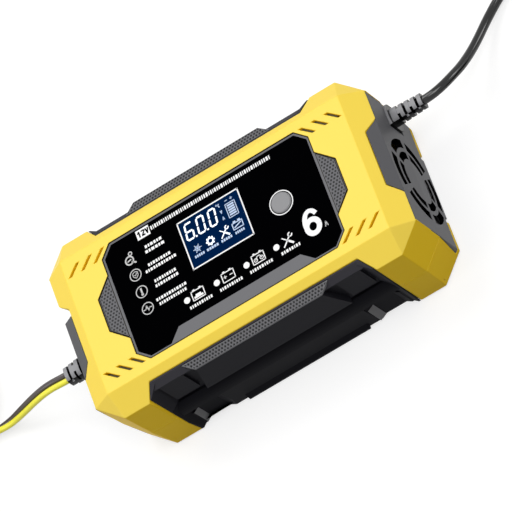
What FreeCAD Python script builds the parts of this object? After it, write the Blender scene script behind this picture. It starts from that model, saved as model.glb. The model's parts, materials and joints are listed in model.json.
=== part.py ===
import FreeCAD, Part
import math
import os
import Sketcher
from FreeCAD import Placement, Rotation, Vector

# A 12 V battery charger lying on its back, display up, with its mains cord and output lead put away.
# X runs along the case, +X towards the fan. Y runs across it, Z up from the surface that it rests on.
# The origin is at the middle of the case's footprint. Every length is in millimetres.

# Driving dimensions: name in the sheet, value, what it is.
DIMENSIONS = [
    ("case_length", 150.0, "yellow case, end to end at the shoulder"),
    ("case_width", 81.8, "yellow case, side to side at the shoulder"),
    ("top_height", 47.9, "flat top above the surface"),
    ("foot_height", 0.8, "case floor above the surface"),
    ("bevel_drop", 6.3, "height of the sloping border of the top"),
    ("end_bevel_run", 9.2, "width of the border's slope at the ends"),
    ("side_bevel_run", 9.65, "width of the border's slope at the sides"),
    ("corner_chamfer", 10.25, "upright chamfer of the four corners, each way"),
    ("fold_drop", 27.4, "parting line of the shells below the top"),
    ("fold_end_inset", 0.2, "how far the end stands in at the parting line"),
    ("fold_side_inset", 0.4, "how far the side stands in at the parting line"),
    ("base_end_inset", 1.3, "how far the end stands in at the bottom"),
    ("base_side_inset", 1.7, "how far the side stands in at the bottom"),
    ("end_recess_depth", 5.0, "depth of the recess in the middle of each end"),
    ("end_recess_half", 12.5, "half width of that recess at its floor"),
    ("end_recess_flare", 4.9, "how much wider the recess is at its mouth, each side"),
    ("side_recess_depth", 6.4, "depth of the long recess of each side"),
    ("side_recess_inset", 26.5, "long recess of each side, from the case end"),
    ("side_recess_flare", 4.5, "how much longer it is at its mouth, each end"),
    ("roof_wall", 2.5, "thickness of the top"),
    ("floor_wall", 2.2, "thickness of the case floor"),
    ("side_wall", 2.2, "thickness of the walls behind the side trims"),
    ("end_wall", 7.5, "from the case end to the space inside the yellow shells"),
    ("fit_gap", 0.2, "clearance between parts that drop into each other"),
    ("screw_end_inset", 15.0, "case screws from the case end"),
    ("screw_side_inset", 6.9, "case screws from the case side"),
    ("boss_radius", 3.2, "screw bosses"),
    ("screw_radius", 1.25, "case screw shank"),
    ("screw_head_radius", 2.7, "case screw head"),
    ("screw_head_height", 2.0, "case screw head"),
    ("screw_pocket", 4.2, "depth of the pocket that hides each screw head"),
    ("foot_end_inset", 30.0, "rubber feet from the case end"),
    ("foot_side_inset", 16.9, "rubber feet from the case side"),
    ("foot_radius", 4.5, "rubber feet"),
    ("foot_sink", 0.8, "how deep each foot sits in the case floor"),
    ("bezel_end_margin", 17.3, "from the bezel to the edge of the flat top, along X"),
    ("bezel_side_margin", 4.25, "from the bezel to the edge of the flat top, along Y"),
    ("bezel_chamfer", 4.95, "corners of the bezel"),
    ("wing_reach", 7.2, "how far each wing stands out of the bezel"),
    ("wing_half", 7.4, "half width of a wing's outer edge"),
    ("bezel_sink", 0.3, "bezel below the flat top"),
    ("bezel_plate", 2.2, "thickness of the bezel"),
    ("bezel_flange", 1.4, "how far the bezel's flange reaches under the top"),
    ("bezel_border", 0.9, "grey border round the black panel"),
    ("overlay_depth", 0.5, "thickness of the black panel"),
    ("foot_panel_half", 33.6, "grey field at the foot of the panel, lower edge"),
    ("foot_panel_rise", 5.0, "height of that field"),
    ("foot_panel_slant", 5.2, "slant of its two ends"),
    ("window_length", 28.2, "display window along X"),
    ("window_width", 21.6, "display window along Y"),
    ("window_inset", 19.1, "middle of the display window from the bezel's side"),
    ("button_x", 28.8, "mode button"),
    ("button_y", 3.0, "mode button"),
    ("button_radius", 4.35, "mode button cap"),
    ("button_gap", 0.3, "clearance round the mode button"),
    ("button_rise", 0.6, "button above the black panel"),
    ("button_travel", 0.5, "how far the button goes in"),
    ("lamp_x", 6.4, "third indicator from the middle"),
    ("lamp_pitch", 13.95, "from one indicator to the next"),
    ("lamp_y", 13.1, "indicators below the middle"),
    ("lamp_radius", 1.35, "indicator lenses"),
    ("vent_past_bezel", 0.8, "first vent slot past the end of the bezel"),
    ("vent_pitch", 5.95, "from one vent slot to the next"),
    ("vent_inside_bezel", 2.2, "vent slots inside the side of the bezel"),
    ("vent_half_run", 2.45, "half a vent slot along X"),
    ("vent_half_rise", 2.2, "half a vent slot along Y"),
    ("vent_width", 1.5, "vent slot, measured along X"),
    ("panel_depth", 3.0, "thickness of the grey end panels"),
    ("panel_side_inset", 10.7, "end panels from the case side"),
    ("tab_half", 14.0, "half width of the end panels at the case floor"),
    ("fan_y", 4.2, "fan centre towards -Y"),
    ("fan_drop", 27.4, "fan centre below the top"),
    ("fan_size", 30.0, "fan frame, square"),
    ("fan_depth", 10.0, "fan frame"),
    ("fan_bore", 14.0, "fan duct radius"),
    ("fan_hole_offset", 12.0, "fan fixing holes from its centre"),
    ("hub_radius", 7.2, "fan hub"),
    ("blade_tip", 13.3, "fan blade tips from the axis"),
    ("slot_angle", 49.0, "angle that each grille slot spans"),
    ("slot_turn", 31.0, "angle of the first grille slot"),
    ("outer_slot_high", 18.9, "outer ring of grille slots, outer radius"),
    ("outer_slot_low", 15.1, "outer ring of grille slots, inner radius"),
    ("inner_slot_high", 13.1, "inner ring of grille slots, outer radius"),
    ("inner_slot_low", 10.0, "inner ring of grille slots, inner radius"),
    ("notch_low", 9.5, "near side of the hanging notch in the output end"),
    ("notch_width", 10.5, "hanging notch"),
    ("inlet_inset", 4.9, "mains cord entry from the side of its panel"),
    ("inlet_drop", 26.6, "both cord entries below the top"),
    ("relief_radius", 4.4, "output strain relief at its root"),
    ("relief_tip_radius", 3.4, "output strain relief at its tip"),
    ("mains_relief_radius", 3.5, "mains strain relief at its root"),
    ("mains_relief_tip_radius", 3.0, "mains strain relief at its tip"),
    ("relief_length", 13.3, "strain relief outside its flange"),
    ("flange_width", 10.8, "strain relief flange"),
    ("flange_height", 11.6, "strain relief flange"),
    ("flange_depth", 2.0, "strain relief flange"),
    ("flange_seat", 1.4, "how deep the flange sits in the panel"),
    ("trim_face", 5.0, "side trims in front of the recess floor"),
    ("trim_base", 1.9, "low part of the side trims"),
    ("pad_slant", 2.8, "slanting end of the skirt pads, measured along X"),
    ("cheek_depth", 5.4, "sloping ends of the side trims, how far out of the recess they reach"),
    ("cheek_foot", 1.3, "the same, thickness at the foot"),
    ("cheek_edge", 0.6, "the same, thickness at the mouth of the recess"),
    ("trim_top_inset", 19.0, "raised face of the side trims, its top edge from the end of the recess"),
    ("trim_foot_inset", 14.5, "raised face of the side trims, its lower edge from the end of the recess"),
    ("trim_top_drop", 4.3, "top of the raised face below the flat top"),
    ("trim_foot_drop", 21.2, "foot of the raised face below the flat top"),
    ("groove_height", 1.8, "groove between side trim and skirt"),
    ("strip_inset", 14.3, "grip strip, its inner edge from the end of the recess"),
    ("strip_rise", 1.5, "grip strip above the raised face, at the case"),
    ("block_inset", 1.7, "small block of the side trim, from the end of the recess floor"),
    ("block_length", 11.0, "small block of the side trim"),
    ("block_rise", 1.4, "small block in front of the low part"),
    ("block_foot", 1.6, "lower edge of the small block above the foot of the raised face"),
    ("brow_drop", 2.6, "top of the sloping band of the side trims below the flat top"),
    ("brow_height", 2.9, "sloping band of the side trims"),
    ("brow_lip", 0.6, "upright edge under that slope"),
    ("skirt_inset", 20.0, "lip at the foot of the side skirts, from the end of the recess"),
    ("step_inset", 15.1, "thick middle of the side skirts, from the end of the recess"),
    ("ledge_setback", 0.25, "ledge of the side skirts behind the raised face"),
    ("ledge_height", 9.4, "ledge of the side skirts"),
    ("crown_depth", 2.8, "rounding of the ledge, from its face inwards"),
    ("crown_height", 6.6, "rounding of the ledge, from its face upwards"),
    ("pad_height", 12.0, "end pads of the side skirts"),
    ("board_thickness", 1.6, "both circuit boards"),
    ("board_end_gap", 9.5, "main board from the end of the space inside"),
    ("board_side_gap", 3.3, "main board from the side of the space inside"),
    ("main_board_rise", 4.0, "main board above the case floor"),
    ("board_hole_inset", 3.5, "main board screws from its edges"),
    ("display_board_end_gap", 4.5, "display board from the bezel's end"),
    ("display_board_side_gap", 5.0, "display board from the bezel's side"),
    ("display_board_drop", 11.3, "display board's top face below the flat top"),
    ("display_post_inset", 7.5, "display board screws from the bezel's edges"),
    ("post_radius", 2.4, "board posts"),
    ("board_screw_radius", 1.0, "board screws"),
    ("board_head_radius", 1.9, "heads of the board screws"),
    ("board_head_height", 1.4, "heads of the board screws"),
    ("cord_grip", 7.0, "how far a cord goes into the tail of its strain relief"),
    ("cord_clearance", 0.3, "clearance round a cord in its strain relief and its clamp"),
    ("mains_cord_diameter", 3.8, "mains cord"),
    ("wire_diameter", 2.5, "each wire of the output lead"),
    ("wire_spacing", 2.7, "one wire's middle to the other's in the output lead"),
    ("coil_lift", 0.75, "put-away coils above the surface, on their tie"),
    ("tie_thickness", 0.5, "cord ties"),
    ("tie_width", 8.0, "cord ties"),
    ("plug_width", 35.0, "two-pin plug"),
    ("plug_height", 13.4, "two-pin plug"),
    ("plug_length", 32.0, "two-pin plug without its pins and its tail"),
    ("plug_tail", 8.4, "tapered tail of the plug"),
    ("pin_radius", 2.0, "plug pins"),
    ("pin_length", 19.0, "plug pins"),
    ("pin_spacing", 18.6, "plug pins, middle to middle"),
    ("clamp_length", 61.0, "battery clamp"),
    ("clamp_thickness", 11.0, "battery clamp, flat on the surface"),
    ("clamp_pivot", 34.0, "clamp pivot from the handle ends"),
    ("clamp_grip", 12.4, "outside of a clamp handle from the middle line"),
    ("cable_beside", 10.2, "wire from the middle line of its clamp"),
    ("cable_depth", 8.5, "how far a wire goes into its clamp's handle"),
    ("clamp_pin_radius", 1.8, "clamp pivot pin"),
    ("clamp_lug_radius", 4.3, "clamp pivot lugs"),
]

SQRT_HALF = math.sqrt(0.5)
OCTAGON = math.sqrt(2) - 1
BIG = 200.0

# Places of what lies beside the case.
MAINS_COIL = {"centre": (149.5, 8.0), "radius": 27.0, "pitch": 4.3, "turns_in": 2.5,
              "turns_out": 2.64, "start": 20.0, "spin": -1}
OUTPUT_COIL = {"centre": (-154.0, 30.0), "radius": 24.0, "pitch": 3.0, "turns_in": 2.0,
               "turns_out": 1.92, "start": -90.0, "spin": -1}
PLUG_PLACE = (162.3, -38.4)
POSITIVE_CLAMP_X = -168.0
NEGATIVE_CLAMP_X = -141.8
CLAMP_Y = -37.0

document = FreeCAD.newDocument("BatteryCharger")
sheet = document.addObject("Spreadsheet::Sheet", "Dimensions")
nodes = []


class Size:
    """A length that carries both its value and the sheet formula that gives it."""

    def __init__(self, value, formula):
        self.value = value
        self.formula = formula

    def __add__(self, other):
        return joined(self, "+", other)

    def __radd__(self, other):
        return joined(other, "+", self)

    def __sub__(self, other):
        return joined(self, "-", other)

    def __rsub__(self, other):
        return joined(other, "-", self)

    def __mul__(self, other):
        return joined(self, "*", other)

    def __rmul__(self, other):
        return joined(other, "*", self)

    def __truediv__(self, other):
        return joined(self, "/", other)

    def __neg__(self):
        return joined(0.0, "-", self)


def as_size(length):
    """A plain number becomes a Size, and a Size stays one."""
    if isinstance(length, Size):
        return length
    return Size(float(length), f"({float(length):.6f})")


def joined(left, sign, right):
    """The Size of left sign right."""
    left, right = as_size(left), as_size(right)
    values = {
        "+": lambda: left.value + right.value,
        "-": lambda: left.value - right.value,
        "*": lambda: left.value * right.value,
        "/": lambda: left.value / right.value,
    }
    return Size(values[sign](), f"({left.formula} {sign} {right.formula})")


def fill_sheet():
    """Writes the driving dimensions into the sheet and returns them by name."""
    sizes = {}
    for row, (alias, value, note) in enumerate(DIMENSIONS, start=1):
        sheet.set(f"A{row}", alias)
        sheet.set(f"B{row}", str(value))
        sheet.set(f"C{row}", note)
        sheet.setAlias(f"B{row}", alias)
        sizes[alias] = Size(value, f"Dimensions.{alias}")
    return sizes


d = fill_sheet()
document.recompute()


def bind(thing, size_name, length):
    """Ties one size of an object to the sheet."""
    length = as_size(length)
    setattr(thing, size_name, length.value)
    thing.setExpression(size_name, length.formula)


def place(thing, spot, rotation=None):
    """Puts an object at a spot whose three coordinates are tied to the sheet."""
    spot = [as_size(c) for c in spot]
    turn = rotation or Rotation()
    thing.Placement = Placement(Vector(*[c.value for c in spot]), turn)
    for axis, c in zip("xyz", spot):
        thing.setExpression(f"Placement.Base.{axis}", c.formula)


def as_node(thing, name):
    """Marks an object as one sub-part of the charger."""
    thing.Label = name
    nodes.append((name, thing))
    return thing


def block(name, low, size):
    """A box from its lowest corner and its three sizes."""
    made = document.addObject("Part::Box", name)
    for side, length in zip(("Length", "Width", "Height"), size):
        bind(made, side, length)
    place(made, low)
    return made


def slab(name, x, y, z):
    """A box from its two limits along each axis."""
    low = (x[0], y[0], z[0])
    return block(name, low, (x[1] - x[0], y[1] - y[0], z[1] - z[0]))


AXIS_TURN = {
    "x": Rotation(Vector(0, 1, 0), 90),
    "y": Rotation(Vector(1, 0, 0), -90),
    "z": Rotation(),
}


def rod(name, radius, length, start, axis="z"):
    """A cylinder from the middle of its first end, along an axis."""
    made = document.addObject("Part::Cylinder", name)
    bind(made, "Radius", radius)
    bind(made, "Height", length)
    place(made, start, AXIS_TURN[axis])
    return made


def cut(name, base, tools):
    """One object less several others."""
    made = document.addObject("Part::Cut", name)
    made.Base = base
    made.Tool = tools[0] if len(tools) == 1 else fuse(name + "_tools", tools)
    made.Refine = True
    return made


def fuse(name, shapes):
    """Several objects as one solid."""
    made = document.addObject("Part::MultiFuse", name)
    made.Shapes = shapes
    made.Refine = True
    return made


def common(name, shapes):
    """What several objects share."""
    made = document.addObject("Part::MultiCommon", name)
    made.Shapes = shapes
    made.Refine = True
    return made


def group(name, shapes):
    """Separate solids that share one node."""
    made = document.addObject("Part::Compound", name)
    made.Links = shapes
    return made


def mirrored(name, source, normal):
    """The mirror image of an object, across a plane through the origin."""
    made = document.addObject("Part::Mirroring", name)
    made.Source = source
    made.Normal = Vector(*normal)
    return made


SKETCH_TURN = {
    "z": Rotation(),
    "y": Rotation(Vector(1, 0, 0), Vector(0, 0, 1), Vector(0, -1, 0), "ZXY"),
    "x": Rotation(Vector(0, 1, 0), Vector(0, 0, 1), Vector(1, 0, 0), "ZXY"),
}
SKETCH_AXIS = {"x": Vector(1, 0, 0), "y": Vector(0, 1, 0), "z": Vector(0, 0, 1)}


def draw_polygon(sketch, points):
    """A closed outline whose every corner is tied to the sheet by its two coordinates."""
    corners = [(as_size(u), as_size(v)) for u, v in points]
    for i, (u, v) in enumerate(corners):
        next_u, next_v = corners[(i + 1) % len(corners)]
        line = Part.LineSegment(Vector(u.value, v.value, 0), Vector(next_u.value, next_v.value, 0))
        sketch.addGeometry(line, False)
    for i in range(len(corners)):
        sketch.addConstraint(Sketcher.Constraint("Coincident", i, 2, (i + 1) % len(corners), 1))
    for i, corner in enumerate(corners):
        for kind, axis, c in zip(("DistanceX", "DistanceY"), (-2, -1), corner):
            if abs(c.value) < 1e-9:
                sketch.addConstraint(Sketcher.Constraint("PointOnObject", i, 1, axis))
                continue
            index = sketch.addConstraint(Sketcher.Constraint(kind, -1, 1, i, 1, c.value))
            sketch.setExpression(f"Constraints[{index}]", c.formula)


def prism(name, across, points, low, high):
    """An outline carried along one axis from low to high.

    Across "z" the outline is in X and Y, across "y" in X and Z, and across "x" in Y and Z.
    """
    sketch = document.addObject("Sketcher::SketchObject", name + "_outline")
    draw_polygon(sketch, points)
    start = {"x": (low, 0, 0), "y": (0, low, 0), "z": (0, 0, low)}[across]
    place(sketch, start, SKETCH_TURN[across])
    made = document.addObject("Part::Extrusion", name)
    made.Base = sketch
    made.DirMode = "Custom"
    made.Dir = SKETCH_AXIS[across]
    made.Solid = True
    bind(made, "LengthFwd", as_size(high) - low)
    return made


def turned(name, profile, spot, rotation=None):
    """A body of revolution: profile is (radius, height) corners, and its axis stands at spot."""
    body = document.addObject("PartDesign::Body", name)
    sketch = body.newObject("Sketcher::SketchObject", name + "_profile")
    plane = [o for o in body.Origin.OriginFeatures if o.Role == "XZ_Plane"][0]
    sketch.AttachmentSupport = (plane, [""])
    sketch.MapMode = "FlatFace"
    draw_polygon(sketch, profile)
    spun = body.newObject("PartDesign::Revolution", name + "_spun")
    spun.Profile = sketch
    spun.ReferenceAxis = (sketch, ["V_Axis"])
    spun.Angle = 360.0
    body.Tip = spun
    place(body, spot, rotation)
    return body


def plate(name, outline, low, high):
    """A PartDesign body: an outline in X and Y padded from low to high."""
    body = document.addObject("PartDesign::Body", name)
    sketch = body.newObject("Sketcher::SketchObject", name + "_outline")
    plane = [o for o in body.Origin.OriginFeatures if o.Role == "XY_Plane"][0]
    sketch.AttachmentSupport = (plane, [""])
    sketch.MapMode = "FlatFace"
    draw_polygon(sketch, outline)
    pad = body.newObject("PartDesign::Pad", name + "_pad")
    pad.Profile = sketch
    bind(pad, "Length", as_size(high) - low)
    body.Tip = pad
    place(body, (0, 0, low))
    return body


def four_ways(quarter):
    """A quarter outline, from the +X axis to the +Y axis, mirrored into a whole one."""
    left = [(-x, y) for x, y in reversed(quarter)]
    return quarter + left + [(x, -y) for x, y in reversed(left)] + [(x, -y) for x, y in reversed(quarter)]


def two_ways(half):
    """Half an outline, on the +X side from low to high, mirrored into a whole one."""
    return half + [(-x, y) for x, y in reversed(half)]


SIGNS = [(1, 1), (-1, 1), (-1, -1), (1, -1)]

half_length = d["case_length"] / 2
half_width = d["case_width"] / 2
d["side_recess_half"] = half_length - d["side_recess_inset"]
for part in ("trim_top", "trim_foot", "strip", "skirt", "step"):
    d[part + "_half"] = d["side_recess_half"] - d[part + "_inset"]
d["block_high"] = d["side_recess_half"] - d["block_inset"]
d["block_low"] = d["block_high"] - d["block_length"]
top = d["top_height"]
base = d["foot_height"]
fold = top - d["fold_drop"]
shoulder = top - d["bevel_drop"]
floor_top = base + d["floor_wall"]
roof = top - d["roof_wall"]
ridge_x = half_length - d["end_bevel_run"]
ridge_y = half_width - d["side_bevel_run"]
recess_y = half_width - d["side_recess_depth"]
cavity_y = recess_y - d["side_wall"]
d["cavity_half"] = half_length - d["end_wall"]
d["screw_x"] = half_length - d["screw_end_inset"]
d["screw_y"] = half_width - d["screw_side_inset"]
d["foot_x"] = half_length - d["foot_end_inset"]
d["foot_y"] = half_width - d["foot_side_inset"]
d["bezel_half_length"] = ridge_x - d["bezel_end_margin"]
d["bezel_half_width"] = ridge_y - d["bezel_side_margin"]
d["window_y"] = d["bezel_half_width"] - d["window_inset"]
d["vent_x"] = d["bezel_half_length"] + d["vent_past_bezel"]
d["vent_y"] = d["bezel_half_width"] - d["vent_inside_bezel"]
d["panel_half"] = half_width - d["panel_side_inset"]
d["inlet_y"] = d["panel_half"] - d["inlet_inset"]
d["main_board_half_length"] = d["cavity_half"] - d["board_end_gap"]
d["main_board_half_width"] = cavity_y - d["board_side_gap"]
d["board_hole_x"] = d["main_board_half_length"] - d["board_hole_inset"]
d["board_hole_y"] = d["main_board_half_width"] - d["board_hole_inset"]
d["display_board_half_length"] = d["bezel_half_length"] - d["display_board_end_gap"]
d["display_board_half_width"] = d["bezel_half_width"] - d["display_board_side_gap"]
d["display_post_x"] = d["bezel_half_length"] - d["display_post_inset"]
d["display_post_y"] = d["bezel_half_width"] - d["display_post_inset"]
recess_x = half_length - d["end_recess_depth"]
gap = d["fit_gap"]
fan_z = top - d["fan_drop"]
entry_z = top - d["inlet_drop"]
relief_seat = half_length - d["flange_seat"]
relief_root = relief_seat + d["flange_depth"]
relief_tip = relief_root + d["relief_length"]


def wedge_profile(ridge, edge, at_fold, at_base):
    """The case's outline seen along one axis: flat top, sloping border, leaning wall."""
    return two_ways([(edge - at_base, base), (edge - at_fold, fold), (edge, shoulder), (ridge, top)])


def case_form(name):
    """The outer form of both yellow shells: four outlines, two of them diagonal, and what they share."""
    along = prism(name + "_long", "y",
                  wedge_profile(ridge_x, half_length, d["fold_end_inset"], d["base_end_inset"]), -BIG, BIG)
    across = prism(name + "_wide", "x",
                   wedge_profile(ridge_y, half_width, d["fold_side_inset"], d["base_side_inset"]), -BIG, BIG)
    corner = (half_length + half_width - d["corner_chamfer"]) * SQRT_HALF
    at_fold = (d["fold_end_inset"] + d["fold_side_inset"]) * SQRT_HALF
    at_base = (d["base_end_inset"] + d["base_side_inset"]) * SQRT_HALF
    profile = wedge_profile((ridge_x + ridge_y) * SQRT_HALF, corner, at_fold, at_base)
    forms = [along, across]
    for side, angle in (("a", 45), ("b", -45)):
        diagonal = prism(f"{name}_corner_{side}", "y", profile, -BIG, BIG)
        turned_form = document.addObject("Part::Compound", f"{name}_turned_{side}")
        turned_form.Links = [diagonal]
        turned_form.Placement = Placement(Vector(), Rotation(Vector(0, 0, 1), angle))
        forms.append(turned_form)
    return common(name, forms)


def notched_outline():
    """Seen from above: a recess in the middle of each end and a long one in each side."""
    run_out = d["end_recess_flare"] / d["end_recess_depth"]
    slant = d["side_recess_flare"] / d["side_recess_depth"]
    past = 10.0
    return four_ways([
        (recess_x, d["end_recess_half"]),
        (half_length + past, d["end_recess_half"] + (d["end_recess_depth"] + past) * run_out),
        (half_length + past, half_width + past),
        (d["side_recess_half"] + (d["side_recess_depth"] + past) * slant, half_width + past),
        (d["side_recess_half"], recess_y),
    ])


def bezel_outline(out):
    """The display bezel's outline, moved out by a distance."""
    wing_x = d["bezel_half_length"] + d["wing_reach"]
    easing = out * OCTAGON
    return four_ways([
        (wing_x + out, d["wing_half"] + easing),
        (d["bezel_half_length"] + out, d["wing_half"] + d["wing_reach"] + easing),
        (d["bezel_half_length"] + out, d["bezel_half_width"] - d["bezel_chamfer"] + easing),
        (d["bezel_half_length"] - d["bezel_chamfer"] + easing, d["bezel_half_width"] + out),
    ])


def at_corners(name, x, y, make):
    """Four like things, one in each quarter."""
    return [make(f"{name}_{i}", sx * x, sy * y) for i, (sx, sy) in enumerate(SIGNS)]


def end_pockets(name):
    """The room that each end of the yellow shells leaves for its grey panel."""
    seat = half_length - d["panel_depth"]
    tools = []
    for side, sign in (("fan", 1), ("output", -1)):
        x_seat = sorted([sign * (seat - gap / 2), sign * BIG / 2], key=lambda s: as_size(s).value)
        x_window = sorted([sign * (d["cavity_half"] - 1), sign * BIG / 2], key=lambda s: as_size(s).value)
        wide = d["panel_half"] + gap
        tools.append(slab(f"{name}_{side}_seat", x_seat, (-wide, wide), (floor_top, shoulder)))
        narrow = d["panel_half"] - 3.4
        tools.append(slab(f"{name}_{side}_window", x_window, (-narrow, narrow), (floor_top, shoulder - 2.4)))
        tab = d["tab_half"] + gap
        tools.append(slab(f"{name}_{side}_tab", x_seat, (-tab, tab), (base - 1, floor_top)))
    room, y = d["mains_relief_radius"] + 1.9, d["inlet_y"]
    tools.append(slab(f"{name}_bush_room", (d["cavity_half"] - 1, seat), (y - room, y + room),
                      (entry_z - room, entry_z + room)))
    tools.append(relief_pocket(name + "_flange", 1, y))
    return tools


def cavity(name, low, high):
    """The main room inside the shells, and a pocket in each corner for the screw bosses."""
    tools = [slab(name, (-d["cavity_half"], d["cavity_half"]), (-cavity_y, cavity_y), (low, high))]
    pocket_x, pocket_y, reach = 9.0, 6.2, 1.0
    pocket_high = min(as_size(high).value, 38.6)
    top_of_pocket = high if pocket_high == as_size(high).value else shoulder - 3.0
    for i, (sx, sy) in enumerate(SIGNS):
        mid_x = sx * d["screw_x"]
        ys = sorted([sy * (cavity_y - reach), sy * (cavity_y + pocket_y)], key=lambda s: as_size(s).value)
        tools.append(slab(f"{name}_pocket_{i}", (mid_x - pocket_x / 2, mid_x + pocket_x / 2), ys,
                          (low, top_of_pocket)))
    return tools


def vent_slots():
    """Three slanting slots beside each corner of the display, cut through the top."""
    tools = []
    run, rise = d["vent_half_run"], d["vent_half_rise"]
    for i, (sx, sy) in enumerate(SIGNS):
        for k in range(3):
            x = sx * (d["vent_x"] + k * d["vent_pitch"])
            y = sy * d["vent_y"]
            lean = -1 if sx == sy else 1
            outline = [
                (x + lean * run - d["vent_width"] / 2, y + rise),
                (x - lean * run - d["vent_width"] / 2, y - rise),
                (x - lean * run + d["vent_width"] / 2, y - rise),
                (x + lean * run + d["vent_width"] / 2, y + rise),
            ]
            tools.append(prism(f"vent_{i}_{k}", "z", outline, roof - 1, top + 1))
    return tools


def make_upper_shell(form, outline):
    """The yellow top: a bevelled roof with the display opening, and the upper half of the corners."""
    above = slab("upper_room", (-BIG, BIG), (-BIG, BIG), (fold, top + 1))
    rough = common("upper_rough", [form, outline, above])
    tools = cavity("upper_cavity", fold - 1, roof) + end_pockets("upper_end") + vent_slots()
    tools.append(prism("display_opening", "z", bezel_outline(gap), roof - 1, top + 1))
    hollow = cut("upper_hollow", rough, tools)
    bosses = at_corners("upper_boss", d["screw_x"], d["screw_y"],
                        lambda name, x, y: rod(name, d["boss_radius"], shoulder - 2.8 - fold, (x, y, fold)))
    pilots = at_corners("upper_pilot", d["screw_x"], d["screw_y"],
                        lambda name, x, y: rod(name, d["screw_radius"] + 0.05, 12.0, (x, y, fold - 1)))
    return as_node(cut("upper_shell", fuse("upper_with_bosses", [hollow] + bosses), pilots), "upper_shell")


def make_lower_shell(form, outline):
    """The yellow floor and the lower half of the corners, with posts for the screws and the board."""
    below = slab("lower_room", (-BIG, BIG), (-BIG, BIG), (base - 1, fold))
    rough = common("lower_rough", [form, outline, below])
    tools = cavity("lower_cavity", floor_top, fold + 1) + end_pockets("lower_end")
    hollow = cut("lower_hollow", rough, tools)
    posts = at_corners("lower_post", d["screw_x"], d["screw_y"],
                       lambda name, x, y: rod(name, d["boss_radius"] + 0.6, fold - base, (x, y, base)))
    posts += at_corners("board_post", d["board_hole_x"], d["board_hole_y"],
                        lambda name, x, y: rod(name, d["post_radius"], d["main_board_rise"] + 1,
                                               (x, y, floor_top - 1)))
    holes = at_corners("screw_hole", d["screw_x"], d["screw_y"],
                       lambda name, x, y: rod(name, d["screw_radius"] + 0.3, fold + 2, (x, y, base - 1)))
    holes += at_corners("screw_pocket", d["screw_x"], d["screw_y"],
                        lambda name, x, y: rod(name, d["screw_head_radius"] + 0.3, d["screw_pocket"] + 1,
                                               (x, y, base - 1)))
    holes += at_corners("board_pilot", d["board_hole_x"], d["board_hole_y"],
                        lambda name, x, y: rod(name, d["board_screw_radius"] + 0.05,
                                               d["main_board_rise"] + 1, (x, y, floor_top)))
    holes += at_corners("foot_seat", d["foot_x"], d["foot_y"],
                        lambda name, x, y: rod(name, d["foot_radius"] + gap, d["foot_sink"] + 1,
                                               (x, y, base - 1)))
    slot_half, slot_width, slot_pitch = 16.0, 2.2, 6.0
    for k in range(-3, 4):
        x = k * slot_pitch
        holes.append(slab(f"floor_slot_{k + 3}", (x - slot_width / 2, x + slot_width / 2),
                          (-slot_half, slot_half), (base - 1, floor_top + 1)))
    return as_node(cut("lower_shell", fuse("lower_with_posts", [hollow] + posts), holes), "lower_shell")


def panel_form(name, sign, case_shape):
    """An end panel: a leaning plate, a bevelled tongue in the top's recess, and a tab at the floor.

    Where the case's corners are cut off, the plate follows them.
    """
    seat = half_length - d["panel_depth"]
    outside = BIG / 2

    def span(low, high):
        return sorted([sign * low, sign * high], key=lambda s: as_size(s).value)

    wide = d["panel_half"]
    body = slab(name + "_plate", span(seat, outside), (-wide, wide), (floor_top + gap, shoulder - gap))
    tab = slab(name + "_tab", span(seat, outside), (-d["tab_half"], d["tab_half"]),
               (base + gap, floor_top + gap))
    low_half = d["end_recess_half"] - gap
    high_half = d["end_recess_half"] + d["end_recess_flare"] - gap
    tongue = prism(name + "_tongue", "z", [
        (sign * (recess_x + gap), -low_half), (sign * half_length, -high_half),
        (sign * half_length, high_half), (sign * (recess_x + gap), low_half),
    ], shoulder - 2.4, top)
    slope = wedge_profile(ridge_x - gap, half_length - gap / 2, d["fold_end_inset"], d["base_end_inset"])
    form = prism(name + "_slope", "y", slope, -BIG, BIG)
    return common(name + "_form", [fuse(name + "_rough", [body, tab, tongue]), form, case_shape])


def ring_slots(name, low, high):
    """Six arc slots on one ring of the fan grille."""
    sectors = []
    reach = 12.0
    start = half_length - 6
    for k in range(6):
        sector = rod(f"{name}_{k}", high, reach, (start, -d["fan_y"], fan_z), "x")
        bind(sector, "Angle", d["slot_angle"])
        middle = d["slot_turn"].value + 60 * k
        turn = Rotation(Vector(1, 0, 0), middle - d["slot_angle"].value / 2)
        upright = Rotation(Vector(0, 1, 0), Vector(0, 0, 1), Vector(1, 0, 0), "ZXY")
        sector.Placement.Rotation = turn.multiply(upright)
        sectors.append(sector)
    core = rod(name + "_core", low, reach + 2, (start - 1, -d["fan_y"], fan_z), "x")
    return cut(name, fuse(name + "_sectors", sectors), [core])


def relief_pocket(name, sign, y):
    """The seat that a strain relief's flange needs."""
    span = sorted([sign * relief_seat, sign * BIG / 2], key=lambda s: as_size(s).value)
    wide, tall = d["flange_width"] / 2 + gap, d["flange_height"] / 2 + gap
    return slab(name + "_pocket", span, (y - wide, y + wide), (entry_z - tall, entry_z + tall))


def relief_holes(name, sign, y, root):
    """The seat and the hole that a strain relief needs in its panel."""
    start = -half_length if sign < 0 else half_length - 8
    return [relief_pocket(name, sign, y),
            rod(name + "_hole", root + gap, 8.0, (start, y, entry_z), "x")]


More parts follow.
